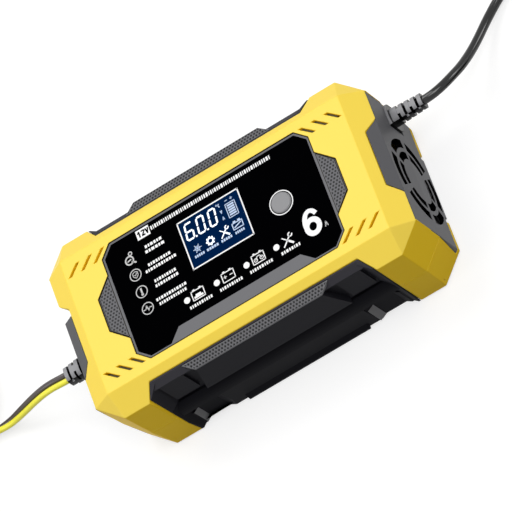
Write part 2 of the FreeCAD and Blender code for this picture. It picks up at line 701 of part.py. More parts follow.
def make_fan_end_panel(case_shape):
    """The grey panel with the fan grille, and four rails that hold the fan."""
    form = panel_form("fan_panel", 1, case_shape)
    seat = half_length - d["panel_depth"]
    rails = []
    rail_in, rail_out, rail_wall, rail_reach = 11.5, 15.0, 2.0, 7.0
    for i, (sy, sz) in enumerate(SIGNS):
        ys = sorted([sy * rail_in - d["fan_y"], sy * rail_out - d["fan_y"]], key=lambda s: s.value)
        edge = d["fan_size"] / 2 + 0.1
        zs = sorted([fan_z + sz * edge, fan_z + sz * (edge + rail_wall)], key=lambda s: s.value)
        rails.append(slab(f"fan_rail_{i}", (seat - rail_reach, seat + 1), ys, zs))
    tools = [ring_slots("outer_slots", d["outer_slot_low"], d["outer_slot_high"]),
             ring_slots("inner_slots", d["inner_slot_low"], d["inner_slot_high"])]
    tools += relief_holes("mains_seat", 1, d["inlet_y"], d["mains_relief_radius"])
    return as_node(fuse("fan_end_panel", [cut("fan_panel_cut", form, tools)] + rails), "fan_end_panel")


def make_output_end_panel(case_shape):
    """The grey panel where the output lead leaves, with the notch that the charger hangs by."""
    form = panel_form("output_panel", -1, case_shape)
    low, high = d["notch_low"], d["notch_low"] + d["notch_width"]
    wall = 1.4
    seat = half_length - d["panel_depth"]
    channel = slab("notch_channel", (-seat - 0.5, -recess_x + wall), (low - wall, high + wall),
                   (floor_top + gap, shoulder - 2.6))
    notch = slab("hanging_notch", (-half_length - 1, -recess_x), (low, high), (base - 1, top + 1))
    return as_node(cut("output_end_panel", fuse("output_panel_whole", [form, channel]),
                       [notch] + relief_holes("output_seat", -1, 0, d["relief_radius"])), "output_end_panel")


def make_strain_relief(name, sign, y, root, tip, cords):
    """A rubber bush: a flange in the panel, then a ribbed tail that narrows towards the cord.

    Cords are (place beside the middle, radius), one for each bore in the tail.
    """
    length = d["relief_length"]
    rib_count = 5
    groove_depth = 0.55
    groove = 0.75
    pitch = length / rib_count
    profile = [(0, -5.0)]
    for k in range(rib_count):
        at = pitch * k
        radius = root - (root - tip) * (k / (rib_count - 1))
        profile += [(radius, at + groove if k else -5.0), (radius, at + pitch)]
        if k < rib_count - 1:
            neck = radius - groove_depth
            profile += [(neck, at + pitch), (neck, at + pitch + groove)]
    profile.append((0, length))
    turn = Rotation(Vector(0, 1, 0), 90 * sign)
    tail = turned(name + "_tail", profile, (sign * relief_root, y, entry_z), turn)
    span = sorted([sign * relief_seat, sign * relief_root], key=lambda s: as_size(s).value)
    wide, tall, corner = d["flange_width"] / 2, d["flange_height"] / 2, 3.2
    outline = [(y + u, entry_z + v) for u, v in four_ways([
        (wide, tall - corner), (wide - corner * 0.3, tall - corner * 0.3), (wide - corner, tall)])]
    flange = prism(name + "_flange", "x", outline, span[0], span[1])
    inside, collar_depth = half_length - d["panel_depth"] - gap, 1.6
    collar_at = sorted([sign * inside, sign * (inside - collar_depth)], key=lambda s: as_size(s).value)
    collar = rod(name + "_collar", root + 1.2, collar_depth, (collar_at[0], y, entry_z), "x")
    deepest = sorted([sign * (relief_tip - d["cord_grip"]), sign * (relief_tip + 1)], key=lambda s: s.value)
    bores = [rod(f"{name}_bore_{i}", radius + d["cord_clearance"], d["cord_grip"] + 1,
                 (deepest[0], y + beside, entry_z), "x") for i, (beside, radius) in enumerate(cords)]
    return as_node(cut(name, fuse(name + "_whole", [tail, flange, collar]), bores), name)


def make_side_trims(case_shape):
    """The dark trim, skirt and knurled grip strip of each long side."""
    floor_y = recess_y + gap / 2
    low_y = recess_y + d["trim_base"]
    face_y = recess_y + d["trim_face"]
    slant = d["side_recess_flare"] / d["side_recess_depth"]
    end = d["side_recess_half"] - gap
    trim_top = top - d["trim_top_drop"]
    trim_foot = top - d["trim_foot_drop"]
    groove_low = trim_foot - d["groove_height"]

    block_y = low_y + d["block_rise"]
    brow_top = top - d["brow_drop"]
    brow_foot = brow_top - d["brow_height"]

    def within_recess(depth):
        """Plan of the side recess, as wide as it is at that depth, less the gap."""
        return two_ways([(end, floor_y), (end + depth * slant, recess_y + depth)])

    def cheeks(name, low, high):
        """The trim's sloping ends, which close the recess up to its mouth."""
        out = recess_y + d["cheek_depth"]
        wall = end + d["cheek_depth"] * slant
        ends = []
        for sign in (-1, 1):
            outline = [(sign * (end - d["cheek_foot"]), low_y - 0.3), (sign * end, floor_y),
                       (sign * wall, out), (sign * (wall - d["cheek_edge"]), out)]
            ends.append(common(f"{name}_cheek_{sign + 1}", [
                prism(f"{name}_end_{sign + 1}", "z", outline, low, high), case_shape]))
        return ends

    trim = prism("trim_base", "z", within_recess(d["trim_base"]), groove_low + gap, brow_foot)
    raised = prism("trim_raised", "y", two_ways([
        (d["trim_foot_half"], trim_foot), (d["trim_top_half"], trim_top)]), floor_y, face_y)
    brow = common("trim_brow", [
        prism("brow_section", "x", [
            (floor_y, brow_foot), (block_y, brow_foot), (block_y, brow_foot + d["brow_lip"]),
            (floor_y + 0.6, brow_top), (floor_y, brow_top)], -BIG, BIG),
        prism("brow_limits", "z", within_recess(d["trim_base"] + d["block_rise"]), brow_foot - 1, top)])
    tools = [trim, raised, brow] + cheeks("trim", groove_low + gap, brow_top)
    for sign in (-1, 1):
        xs = sorted([sign * d["block_low"], sign * d["block_high"]], key=lambda s: s.value)
        tools.append(slab(f"trim_block_{sign + 1}", xs, (floor_y, block_y),
                          (trim_foot + d["block_foot"], brow_foot)))
    hollow = slab("trim_hollow", (-end + 3, end - 3), (floor_y - 1, low_y - 0.9), (trim_foot + 2, shoulder - 2))
    deep = slab("trim_deep", (-d["trim_top_half"] + 3, d["trim_top_half"] - 3), (floor_y - 1, face_y - 1.8),
                (trim_foot + 2, shoulder - 2))
    over_strip = slab("strip_room", (-BIG, BIG), (floor_y, face_y + 1), (trim_top, top))
    strip_seat = common("strip_seat", [over_strip, prism("strip_plan", "z", two_ways([
        (d["strip_half"] + gap, floor_y + 0.7), (d["trim_top_half"] + gap, face_y + 1)]), trim_top - 1, top)])
    rear = cut("rear_side_panel", fuse("trim_whole", tools), [hollow, deep, strip_seat])

    strip_section = [(floor_y + 0.9, trim_top), (face_y, trim_top), (face_y, trim_top + 0.8),
                     (floor_y + 1.6, trim_top + d["strip_rise"]), (floor_y + 0.9, trim_top + d["strip_rise"])]
    strip_plan = two_ways([(d["strip_half"], floor_y + 0.9), (d["trim_top_half"], face_y)])
    strip = common("rear_grip_strip", [
        prism("strip_section", "x", strip_section, -BIG, BIG),
        prism("strip_limits", "z", strip_plan, trim_top - 1, top)])

    skirt_base = prism("skirt_base", "z", within_recess(d["trim_base"]), base + gap, groove_low - 1)
    ledge_depth = d["trim_face"] - d["ledge_setback"]
    ledge_y = recess_y + ledge_depth
    ledge_foot = groove_low - d["ledge_height"]
    crown = []
    for step in range(7):
        angle = math.radians(75 - 12.5 * step)
        crown.append((ledge_y - d["crown_depth"] * (1 - math.cos(angle)),
                      groove_low - d["crown_height"] * (1 - math.sin(angle))))
    ledge = common("skirt_ledge", [
        prism("ledge_section", "x", [(floor_y, crown[0][1])] + crown + [
            (ledge_y, ledge_foot + 1.6), (low_y, ledge_foot), (floor_y, ledge_foot)], -BIG, BIG),
        prism("ledge_limits", "z", within_recess(ledge_depth), base, top)])
    middle = common("skirt_middle", [
        prism("middle_section", "x", [
            (floor_y, base + gap), (low_y + 1.2, base + gap), (ledge_y, crown[-1][1]),
            (floor_y, crown[-1][1])], -BIG, BIG),
        prism("middle_limits", "z", two_ways([
            (d["step_half"] + 3.4, floor_y), (d["step_half"] + 3.4, low_y),
            (d["step_half"], low_y + 1.8), (d["step_half"], ledge_y + 1)]), base, top)])
    lip = prism("skirt_lip", "x", [
        (floor_y, base + gap), (face_y - 0.7, base + gap), (face_y - 0.7, base + 1.4),
        (low_y + 1.2, base + 5.2), (floor_y, base + 5.2)], -d["skirt_half"], d["skirt_half"])
    skirt_parts = [skirt_base, ledge, middle, lip] + cheeks("skirt", base + gap, groove_low)
    for sign in (-1, 1):
        pad_end = d["block_high"] + d["pad_slant"] / 2
        pad = [(sign * (pad_end - d["pad_slant"]), low_y - 0.4), (sign * pad_end, low_y + d["block_rise"]),
               (sign * (end + (d["trim_base"] + d["block_rise"]) * slant), low_y + d["block_rise"]),
               (sign * (end + (d["trim_base"] - 0.4) * slant), low_y - 0.4)]
        skirt_parts.append(prism(f"skirt_pad_{sign + 1}", "z", pad, base + gap, base + d["pad_height"]))
    skirt_hollow = slab("skirt_hollow", (-end + 3, end - 3), (floor_y - 1, low_y - 0.9),
                        (base + 3, groove_low - 4))
    skirt = cut("rear_side_skirt", fuse("skirt_whole", skirt_parts), [skirt_hollow])

    for name, rear_part in (("side_panel", rear), ("grip_strip", strip), ("side_skirt", skirt)):
        as_node(rear_part, "rear_" + name)
        as_node(mirrored("front_" + name, rear_part, (0, 1, 0)), "front_" + name)


def lamp_places():
    """The four indicators, from left to right."""
    return [(d["lamp_x"] + k * d["lamp_pitch"], -d["lamp_y"]) for k in (-2, -1, 0, 1)]


def make_display():
    """The grey bezel, the black panel in it, and the display, button and boards under them."""
    face = top - d["bezel_sink"]
    plate_low = face - d["bezel_plate"]
    ledge = roof
    overlay_low = face - 0.1 - d["overlay_depth"]
    board_top = top - d["display_board_drop"]
    window_x = (-d["window_length"] / 2, d["window_length"] / 2)
    window_y = (d["window_y"] - d["window_width"] / 2, d["window_y"] + d["window_width"] / 2)

    upright = prism("bezel_upright", "z", bezel_outline(0.0), ledge - 1.0, face)
    flange = prism("bezel_flange_plate", "z", bezel_outline(d["bezel_flange"]), ledge - 1.0, ledge)
    posts = at_corners("bezel_post", d["display_post_x"], d["display_post_y"],
                       lambda name, x, y: rod(name, d["post_radius"], plate_low + 0.5 - board_top,
                                              (x, y, board_top)))
    hollow = slab("bezel_hollow", (-d["bezel_half_length"] + 2.5, d["bezel_half_length"] - 2.5),
                  (-d["bezel_half_width"] + 3.5, d["bezel_half_width"] - 3.5), (ledge - 2, plate_low + 0.4))
    panel_half = d["bezel_half_length"] - d["bezel_border"]
    panel_wide = d["bezel_half_width"] - d["bezel_border"]
    slope = d["bezel_chamfer"] - d["bezel_border"] * (1 - OCTAGON)

    def panel_outline(out):
        foot, rise, slant = d["foot_panel_half"], d["foot_panel_rise"], d["foot_panel_slant"]
        right = [(foot + out, -panel_wide - out), (panel_half - slope, -panel_wide - out),
                 (panel_half + out, -panel_wide + slope), (panel_half + out, panel_wide - slope),
                 (panel_half - slope, panel_wide + out)]
        left = [(-x, y) for x, y in reversed(right)]
        return right + left + [(-foot + slant - out, -panel_wide + rise - out),
                               (foot - slant + out, -panel_wide + rise - out)]

    recess = prism("overlay_recess", "z", panel_outline(0.05), overlay_low, top + 1)
    button_hole = d["button_radius"] + d["button_gap"]
    tools = [recess, rod("bezel_button_hole", button_hole, 8.0, (d["button_x"], d["button_y"], ledge - 3)),
             slab("bezel_window", (window_x[0] - gap, window_x[1] + gap),
                  (window_y[0] - gap, window_y[1] + gap), (ledge - 3, top + 1))]
    for i, (x, y) in enumerate(lamp_places()):
        tools.append(rod(f"bezel_lamp_hole_{i}", d["lamp_radius"] + 0.15, 8.0, (x, y, ledge - 3)))
    tools += at_corners("bezel_pilot", d["display_post_x"], d["display_post_y"],
                        lambda name, x, y: rod(name, d["board_screw_radius"] + 0.05, 6.5,
                                               (x, y, board_top - 1)))
    shell = cut("bezel_shell", fuse("bezel_plates", [upright, flange]), [hollow])
    as_node(cut("display_bezel", fuse("bezel_whole", [shell] + posts), tools), "display_bezel")

    sheet_tools = [rod("overlay_button_hole", button_hole, 4.0, (d["button_x"], d["button_y"], overlay_low - 1)),
                   slab("overlay_window", (window_x[0] - gap / 2, window_x[1] + gap / 2),
                        (window_y[0] - gap / 2, window_y[1] + gap / 2), (overlay_low - 1, top + 1))]
    for i, (x, y) in enumerate(lamp_places()):
        sheet_tools.append(rod(f"overlay_lamp_hole_{i}", d["lamp_radius"] + 0.1, 4.0, (x, y, overlay_low - 1)))
    flat = plate("overlay_sheet", panel_outline(0.0), overlay_low, overlay_low + d["overlay_depth"])
    as_node(cut("display_overlay", flat, sheet_tools), "display_overlay")

    module_top = plate_low + 0.4
    as_node(slab("lcd_window", window_x, window_y, (module_top, face - 0.25)), "lcd_window")
    module_x = (window_x[0] - 2.8, window_x[1] + 2.8)
    module_y = (window_y[0] - 2.8, window_y[1] + 2.8)
    as_node(slab("lcd_module", module_x, module_y, (module_top - 3.8, module_top)), "lcd_module")
    as_node(slab("lcd_backlight", (module_x[0] + 1.2, module_x[1] - 1.2), (module_y[0] + 1.2, module_y[1] - 1.2),
                 (board_top, module_top - 3.8)), "lcd_backlight")

    button = [
        (0, board_top + 4.05 + d["button_travel"]), (1.5, board_top + 4.05 + d["button_travel"]),
        (1.5, module_top - 1.5), (d["button_radius"] + 1.2, module_top - 1.5),
        (d["button_radius"] + 1.2, module_top - 0.3), (d["button_radius"], module_top - 0.3),
        (d["button_radius"], face - 0.1 + d["button_rise"] - 0.35),
        (d["button_radius"] - 0.45, face - 0.1 + d["button_rise"]), (0, face - 0.1 + d["button_rise"]),
    ]
    as_node(turned("mode_button", button, (d["button_x"], d["button_y"], 0)), "mode_button")
    switch_body = slab("switch_body", (d["button_x"] - 3, d["button_x"] + 3),
                       (d["button_y"] - 3, d["button_y"] + 3), (board_top, board_top + 2.9))
    switch_tip = rod("switch_tip", 1.7, 1.2, (d["button_x"], d["button_y"], board_top + 2.8))
    as_node(fuse("tact_switch", [switch_body, switch_tip]), "tact_switch")

    lenses = []
    for i, (x, y) in enumerate(lamp_places()):
        radius = d["lamp_radius"]
        lenses.append(turned(f"lens_{i}", [
            (0, board_top + 1.0), (radius, board_top + 1.0), (radius, face - 0.15),
            (radius - 0.3, face), (0, face)], (x, y, 0)))
    as_node(group("indicator_lenses", lenses), "indicator_lenses")
    chips = [slab(f"lamp_chip_{i}", (x - 1.6, x + 1.6), (y - 0.8, y + 0.8), (board_top, board_top + 1.0))
             for i, (x, y) in enumerate(lamp_places())]

    board_low = board_top - d["board_thickness"]
    long_half, wide_half = d["display_board_half_length"], d["display_board_half_width"]
    board = slab("display_board_blank", (-long_half, long_half), (-wide_half, wide_half), (board_low, board_top))
    holes = at_corners("display_board_hole", d["display_post_x"], d["display_post_y"],
                       lambda name, x, y: rod(name, d["board_screw_radius"] + 0.3, 4.0,
                                              (x, y, board_low - 1)))
    as_node(cut("display_board", board, holes), "display_board")
    return board_low, chips


def round_screw(name, spot, radius, length, head_radius, head_height, upward=True):
    """A pan-head screw whose head sits on spot, pointing up or down from it."""
    rim = head_height * 0.6
    profile = [(0, -head_height), (head_radius * 0.7, -head_height), (head_radius, -rim),
               (head_radius, 0), (radius, 0), (radius, length), (0, length)]
    turn = Rotation() if upward else Rotation(Vector(1, 0, 0), 180)
    blank = turned(name + "_blank", profile, spot, turn)
    depth = head_height * 0.5
    low = spot[2] - head_height - 0.1 if upward else spot[2] + head_height - depth
    arms = []
    for k, (across_x, across_y) in enumerate(((1.3, 0.28), (0.28, 1.3))):
        reach_x, reach_y = head_radius * across_x * 0.5, head_radius * across_y * 0.5
        arms.append(slab(f"{name}_arm_{k}", (spot[0] - reach_x, spot[0] + reach_x),
                         (spot[1] - reach_y, spot[1] + reach_y), (low, low + depth + 0.1)))
    return cut(name, blank, arms)


def make_screws_and_feet(display_board_low):
    """The screws of the case and of both boards, and the four rubber feet."""
    seat = base + d["screw_pocket"]
    screws = at_corners("case_screw", d["screw_x"], d["screw_y"],
                        lambda name, x, y: round_screw(name, (x, y, seat), d["screw_radius"], fold - seat + 9,
                                                       d["screw_head_radius"], d["screw_head_height"]))
    as_node(group("case_screws", screws), "case_screws")
    main_top = floor_top + d["main_board_rise"] + d["board_thickness"]
    board = at_corners("main_screw", d["board_hole_x"], d["board_hole_y"],
                       lambda name, x, y: round_screw(name, (x, y, main_top), d["board_screw_radius"], 5.0,
                                                      d["board_head_radius"], d["board_head_height"], False))
    board += at_corners("display_screw", d["display_post_x"], d["display_post_y"],
                        lambda name, x, y: round_screw(name, (x, y, display_board_low),
                                                       d["board_screw_radius"], 6.0,
                                                       d["board_head_radius"], d["board_head_height"]))
    as_node(group("board_screws", board), "board_screws")
    rim, radius, high = 0.5, d["foot_radius"], base + d["foot_sink"]
    foot = [(0, 0), (radius - rim, 0), (radius, rim), (radius, high), (0, high)]
    feet = at_corners("foot", d["foot_x"], d["foot_y"], lambda name, x, y: turned(name, foot, (x, y, 0)))
    as_node(group("rubber_feet", feet), "rubber_feet")


def make_main_board(lamp_chips):
    """The main board and what stands on it."""
    low = floor_top + d["main_board_rise"]
    high = low + d["board_thickness"]
    long_half, wide_half = d["main_board_half_length"], d["main_board_half_width"]
    blank = slab("main_board_blank", (-long_half, long_half), (-wide_half, wide_half), (low, high))
    holes = at_corners("main_board_hole", d["board_hole_x"], d["board_hole_y"],
                       lambda name, x, y: rod(name, d["board_screw_radius"] + 0.3, 4.0, (x, y, low - 1)))
    as_node(cut("main_board", blank, holes), "main_board")

    core_x, core_y, core_low, core_high = 13.0, 15.0, high + 2.4, high + 22.4
    window_low, window_high, leg, outer_leg = core_low + 4, core_high - 4, 4.5, 10.5
    core = slab("core_blank", (-core_x, core_x), (-core_y, core_y), (core_low, core_high))
    windows = [slab(f"core_window_{s + 1}", (-core_x - 1, core_x + 1),
                    sorted([s * leg, s * outer_leg]), (window_low, window_high)) for s in (-1, 1)]
    as_node(cut("transformer_core", core, windows), "transformer_core")
    clear = 0.3
    coil = slab("winding_blank", (-core_x - 4, core_x + 4), (-outer_leg + clear, outer_leg - clear),
                (window_low + clear, window_high - clear))
    leg_hole = slab("winding_leg", (-core_x - clear, core_x + clear), (-leg - clear, leg + clear),
                    (window_low - 1, window_high + 1))
    base_plate = slab("bobbin_base", (-core_x - 4, core_x + 4), (-core_y, core_y), (high, core_low))
    pillars = [slab(f"bobbin_pillar_{s + 1}", sorted([s * (core_x + clear), s * (core_x + 4)]),
                    (-leg * 2, leg * 2), (high, window_low + 1)) for s in (-1, 1)]
    as_node(fuse("transformer_winding", [cut("winding_ring", coil, [leg_hole]), base_plate] + pillars),
            "transformer_winding")

    rim = 0.8
    bulk_radius, bulk_height = 8.0, 25.0
    can = [(0, 0), (bulk_radius - rim, 0), (bulk_radius, rim), (bulk_radius, 2.6), (bulk_radius - 0.5, 3.2),
           (bulk_radius, 3.8), (bulk_radius, bulk_height - rim), (bulk_radius - rim, bulk_height), (0, bulk_height)]
    as_node(turned("bulk_capacitor", can, (29.0 - long_half, 15.0 - wide_half, high)), "bulk_capacitor")
    small_radius, small_height = 5.0, 20.0
    small_can = [(0, 0), (small_radius - 0.6, 0), (small_radius, 0.6), (small_radius, small_height - 0.6),
                 (small_radius - 0.6, small_height), (0, small_height)]
    as_node(group("output_capacitors", [
        turned(f"small_can_{k}", small_can, (31.0 - long_half, 6.0 + 11.5 * k, high)) for k in (0, 1)]), "output_capacitors")

    sinks, transistors = [], []
    sink_x = (long_half - 38, long_half - 6)
    sink_high_y = wide_half - 3
    sink_low_y = sink_high_y - 13
    sink_height = 22.0
    fin_count = 5
    for side, sign in (("rear", 1), ("front", -1)):
        ys = sorted([sign * sink_low_y, sign * sink_high_y], key=lambda s: s.value)
        body = slab(f"sink_{side}", sink_x, ys, (high, high + sink_height))
        pitch = (sink_x[1] - sink_x[0]) / fin_count
        slots = []
        for k in range(fin_count):
            x = sink_x[0] + pitch * (k + 0.5)
            slot_y = sorted([sign * (sink_low_y + 3), sign * (sink_high_y + 1)], key=lambda s: s.value)
            slots.append(slab(f"sink_{side}_slot_{k}", (x - 2.1, x + 2.1), slot_y, (high - 1, high + 30)))
        sinks.append(cut(f"sink_{side}_finned", body, slots))
        for k in range(2):
            x = sink_x[0] + 8 + 15 * k
            y = sorted([sign * (sink_low_y - 4.4), sign * sink_low_y], key=lambda s: s.value)
            transistors.append(slab(f"transistor_{side}_{k}", (x - 5, x + 5), y, (high + 3.5, high + 18.5)))
            legs_y = sorted([sign * (sink_low_y - 2.7), sign * (sink_low_y - 2.0)], key=lambda s: s.value)
            for leg_k in (-1, 0, 1):
                leg_x = x + 2.54 * leg_k
                transistors.append(slab(f"transistor_{side}_{k}_leg_{leg_k + 1}", (leg_x - 0.4, leg_x + 0.4),
                                        legs_y, (high, high + 3.5)))
    as_node(group("heatsinks", sinks), "heatsinks")
    as_node(group("power_transistors", transistors), "power_transistors")

    end = -long_half
    as_node(slab("bridge_rectifier", (end + 12, end + 27), (-1.5, 2.0), (high, high + 11)), "bridge_rectifier")
    ring = document.addObject("Part::Torus", "choke_ring")
    bind(ring, "Radius1", 6.6)
    bind(ring, "Radius2", 3.0)
    place(ring, (end + 11.5, -14.0, high + 11.2), AXIS_TURN["x"])
    choke_base = slab("choke_base", (end + 7.5, end + 15.5), (-20.0, -8.0), (high, high + 2.6))
    as_node(fuse("line_filter_choke", [ring, choke_base]), "line_filter_choke")
    glass = rod("fuse_glass", 2.5, 20.0, (end + 6, 16.0, high + 3.5), "x")
    clips = [slab(f"fuse_clip_{k}", (x, x + 5.0), (13.2, 18.8), (high, high + 3.6))
             for k, x in enumerate((end + 6, end + 21))]
    as_node(fuse("fuse", [glass] + clips), "fuse")
    chips = [slab("control_chip", (-8.0, 2.0), (19.0, 26.0), (high, high + 1.8)),
             slab("driver_chip", (-8.0, 1.0), (-25.5, -19.5), (high, high + 1.8)),
             slab("sense_resistor", (8.0, 15.0), (19.5, 23.0), (high, high + 1.4))]
    as_node(group("board_chips", chips + lamp_chips), "board_chips")
    return high


def make_ribbon(main_top, display_low):
    """The ribbon between the boards, with a header at each end."""
    x, high_y, width = -19.0, 22.8, 7.0
    header_y, band_y = (high_y - width, high_y), (high_y - width + 0.8, high_y - 0.8)
    parts = [slab("ribbon_low_header", (x - 2.4, x + 2.4), header_y, (main_top, main_top + 5)),
             slab("ribbon_band", (x - 0.5, x + 0.5), band_y, (main_top + 4, display_low - 3)),
             slab("ribbon_high_header", (x - 2.4, x + 2.4), header_y, (display_low - 4, display_low))]
    as_node(fuse("ribbon_cable", parts), "ribbon_cable")


def make_fan():
    """A small axial fan behind the grille: frame, stator and rotor."""
    out = half_length - d["panel_depth"]
    back = out - d["fan_depth"]
    half = d["fan_size"] / 2
    y, z = -d["fan_y"], fan_z
    frame = slab("fan_box", (back, out), (y - half, y + half), (z - half, z + half))
    tools = [rod("fan_duct", d["fan_bore"], d["fan_depth"] + 2, (back - 1, y, z), "x")]
    for i, (sy, sz) in enumerate(SIGNS):
        spot = (back - 1, y + sy * d["fan_hole_offset"], z + sz * d["fan_hole_offset"])
        tools.append(rod(f"fan_hole_{i}", 1.5, d["fan_depth"] + 2, spot, "x"))
    square = cut("fan_square", frame, tools)
    disc = rod("fan_motor_base", d["hub_radius"] - 0.4, 1.4, (back, y, z), "x")
    struts = []
    for k in range(3):
        strut = block(f"fan_strut_{k}", (back, y, z), (1.4, 2.0, d["fan_bore"] + 0.6))
        angle = 120 * k + 20
        strut.Placement.Rotation = Rotation(Vector(1, 0, 0), angle)
        struts.append(strut)
    shaft = rod("fan_shaft", 0.95, d["fan_depth"] - 3.4, (back + 1, y, z), "x")
    bearing = rod("fan_bearing", 2.0, 3.2, (back + 1, y, z), "x")
    as_node(fuse("fan_frame", [square, disc, shaft, bearing] + struts), "fan_frame")

    stator_low, stator_long, hub_wall = back + 1.4, 4.6, 0.8
    stator = cut("fan_stator", rod("stator_ring", d["hub_radius"] - hub_wall - 0.6, stator_long,
                                   (stator_low, y, z), "x"),
                 [rod("stator_bore", 2.1, stator_long + 2, (stator_low - 1, y, z), "x")])
    as_node(stator, "fan_stator")

    hub_low, hub_high = back + 1.9, out - 1.0
    hub = rod("hub_cup", d["hub_radius"], hub_high - hub_low, (hub_low, y, z), "x")
    room = rod("hub_room", d["hub_radius"] - hub_wall, 5.2, (hub_low - 0.2, y, z), "x")
    bore = rod("hub_bore", 1.0, 12.0, (hub_low - 1, y, z), "x")
    blades = []
    blade_count, pitch_angle, chord = 7, 38, 7.2
    for k in range(blade_count):
        blade = document.addObject("Part::Box", f"blade_{k}")
        bind(blade, "Length", chord)
        bind(blade, "Width", 0.9)
        bind(blade, "Height", d["blade_tip"] - d["hub_radius"] + 0.9)
        lean = Placement(Vector(0, 0, 0), Rotation(Vector(0, 0, 1), pitch_angle))
        shift = Placement(Vector(-chord / 2, -0.45, d["hub_radius"].value - 0.7), Rotation())
        spin = Placement(Vector(), Rotation(Vector(1, 0, 0), 360 / blade_count * k))
        centre = Placement(Vector((hub_low.value + hub_high.value) / 2, y.value, z.value), Rotation())
        blade.Placement = centre.multiply(spin).multiply(lean).multiply(shift)
        blades.append(blade)
    solid_hub = cut("hub_hollow", hub, [room])
    rotor = cut("fan_rotor_rough", fuse("hub_and_blades", [solid_hub] + blades), [
        rod("hub_room_again", d["hub_radius"] - hub_wall, 5.2, (hub_low - 0.2, y, z), "x"), bore])
    limits = rod("rotor_limits", d["blade_tip"], hub_high - hub_low, (hub_low, y, z), "x")
    as_node(common("fan_rotor", [rotor, limits]), "fan_rotor")


def arc_between(start, direction, end):
    """The arc that leaves start along direction and reaches end, or a line where they are in line."""
    chord = end.sub(start)
    half = chord.Length / 2
    along = direction.dot(chord) / chord.Length
    side = direction.sub(Vector(chord).multiply(along / chord.Length))
    if side.Length < 1e-7:
        return Part.LineSegment(start, end).toShape()
    side.normalize()
    half_turn = math.acos(max(-1.0, min(1.0, along)))
    rise = half * math.tan(half_turn / 2)
    middle = start.add(Vector(chord).multiply(0.5)).add(Vector(side).multiply(rise))
    return Part.Arc(start, middle, end).toShape()


def biarc(p0, t0, p1, t1):
    """Two arcs that meet smoothly, from p0 along t0 to p1 along t1."""
    gap_vector = p1.sub(p0)
    both = t0.add(t1)
    a = 2 * (1 - t0.dot(t1))
    b = gap_vector.dot(both)
    c = gap_vector.dot(gap_vector)
    reach = c / (2 * b) if a < 1e-9 else (math.sqrt(b * b + a * c) - b) / a
    q0 = p0.add(Vector(t0).multiply(reach))
    q1 = p1.sub(Vector(t1).multiply(reach))
    middle = q0.add(q1).multiply(0.5)
    turn = Vector(q1.sub(q0)).normalize()
    return [arc_between(p0, t0, middle), arc_between(middle, turn, p1)]


def tube(name, edges, start, direction, radius):
    """A round tube along edges that join smoothly, with its volume set against section times length."""
    wire = Part.Wire(edges)
    ring = Part.Wire([Part.Circle(start, direction, radius).toShape()])
    solid = wire.makePipeShell([ring], True, False)
    section = math.pi * radius * radius
    share = solid.Volume / (section * wire.Length)
    print(f"{name}: length {wire.Length:.1f} mm, volume over section times length {share:.4f}")
    made = document.addObject("Part::Feature", name)
    made.Shape = solid
    as_node(made, name)
    return wire.Length


def route_edges(name, points):
    """Straight runs through the points, with the largest arc that each corner's two runs allow."""
    points = [Vector(*p) for p in points]
    edges, radii = [], []
    here = points[0]
    for before, corner, after in zip(points, points[1:], points[2:]):
        into = corner.sub(before)
        out = after.sub(corner)
        shorter = min(into.Length, out.Length)
        into.normalize()
        out.normalize()
        cut_back = 0.45 * shorter
        turn = into.getAngle(out)
        radii.append(cut_back / math.tan(turn / 2))
        first = corner.sub(Vector(into).multiply(cut_back))
        last = corner.add(Vector(out).multiply(cut_back))
        edges.append(Part.LineSegment(here, first).toShape())
        edges.append(arc_between(first, into, last))
        here = last
    edges.append(Part.LineSegment(here, points[-1]).toShape())
    print(f"{name}: radii", " ".join(f"{r:.0f}" for r in radii))
    return edges


def free_stretch(name, points, diameter):
    """A length of cord that isn't coiled, along a route chosen by hand."""
    direction = Vector(*points[1]).sub(Vector(*points[0])).normalize()
    return tube(name, route_edges(name, points), Vector(*points[0]), direction, diameter / 2)


def coil_point(coil, low, high, along):
    """The middle of a put-away coil's cord after so many turns, and the way that it runs there.

    The cord spirals in, climbs a layer in the half turn where it reverses, and spirals out again.
    """
    ease = 0.25
    from_turn = along - coil["turns_in"]
    inner = coil["radius"] - coil["pitch"] * coil["turns_in"]
    if abs(from_turn) < ease:
        radius = inner + coil["pitch"] * (from_turn ** 2 / (2 * ease) + ease / 2)
        radius_rate = coil["pitch"] * from_turn / ease
        share = (from_turn + ease) / (2 * ease)
        z = low + (high - low) * share * share * (3 - 2 * share)
        z_rate = (high - low) * 6 * share * (1 - share) / (2 * ease)
    else:
        radius = inner + coil["pitch"] * abs(from_turn)
        radius_rate = math.copysign(coil["pitch"], from_turn)
        z = low if from_turn < 0 else high
        z_rate = 0.0
    angle = math.radians(coil["start"]) + coil["spin"] * 2 * math.pi * along
    rate = coil["spin"] * 2 * math.pi
    x, y = coil["centre"]
    point = Vector(x + radius * math.cos(angle), y + radius * math.sin(angle), z)
    run = Vector(radius_rate * math.cos(angle) - radius * rate * math.sin(angle),
                 radius_rate * math.sin(angle) + radius * rate * math.cos(angle), z_rate)
    return point, run.normalize()


def least_gap(points, diameter):
    """The least distance between two turns' surfaces, from points along the middle line."""
    step = points[1].sub(points[0]).Length
    skip = int(6 * diameter / step)
    least = BIG
    for i, p in enumerate(points):
        for q in points[i + skip:]:
            least = min(least, p.sub(q).Length)
    return least - diameter


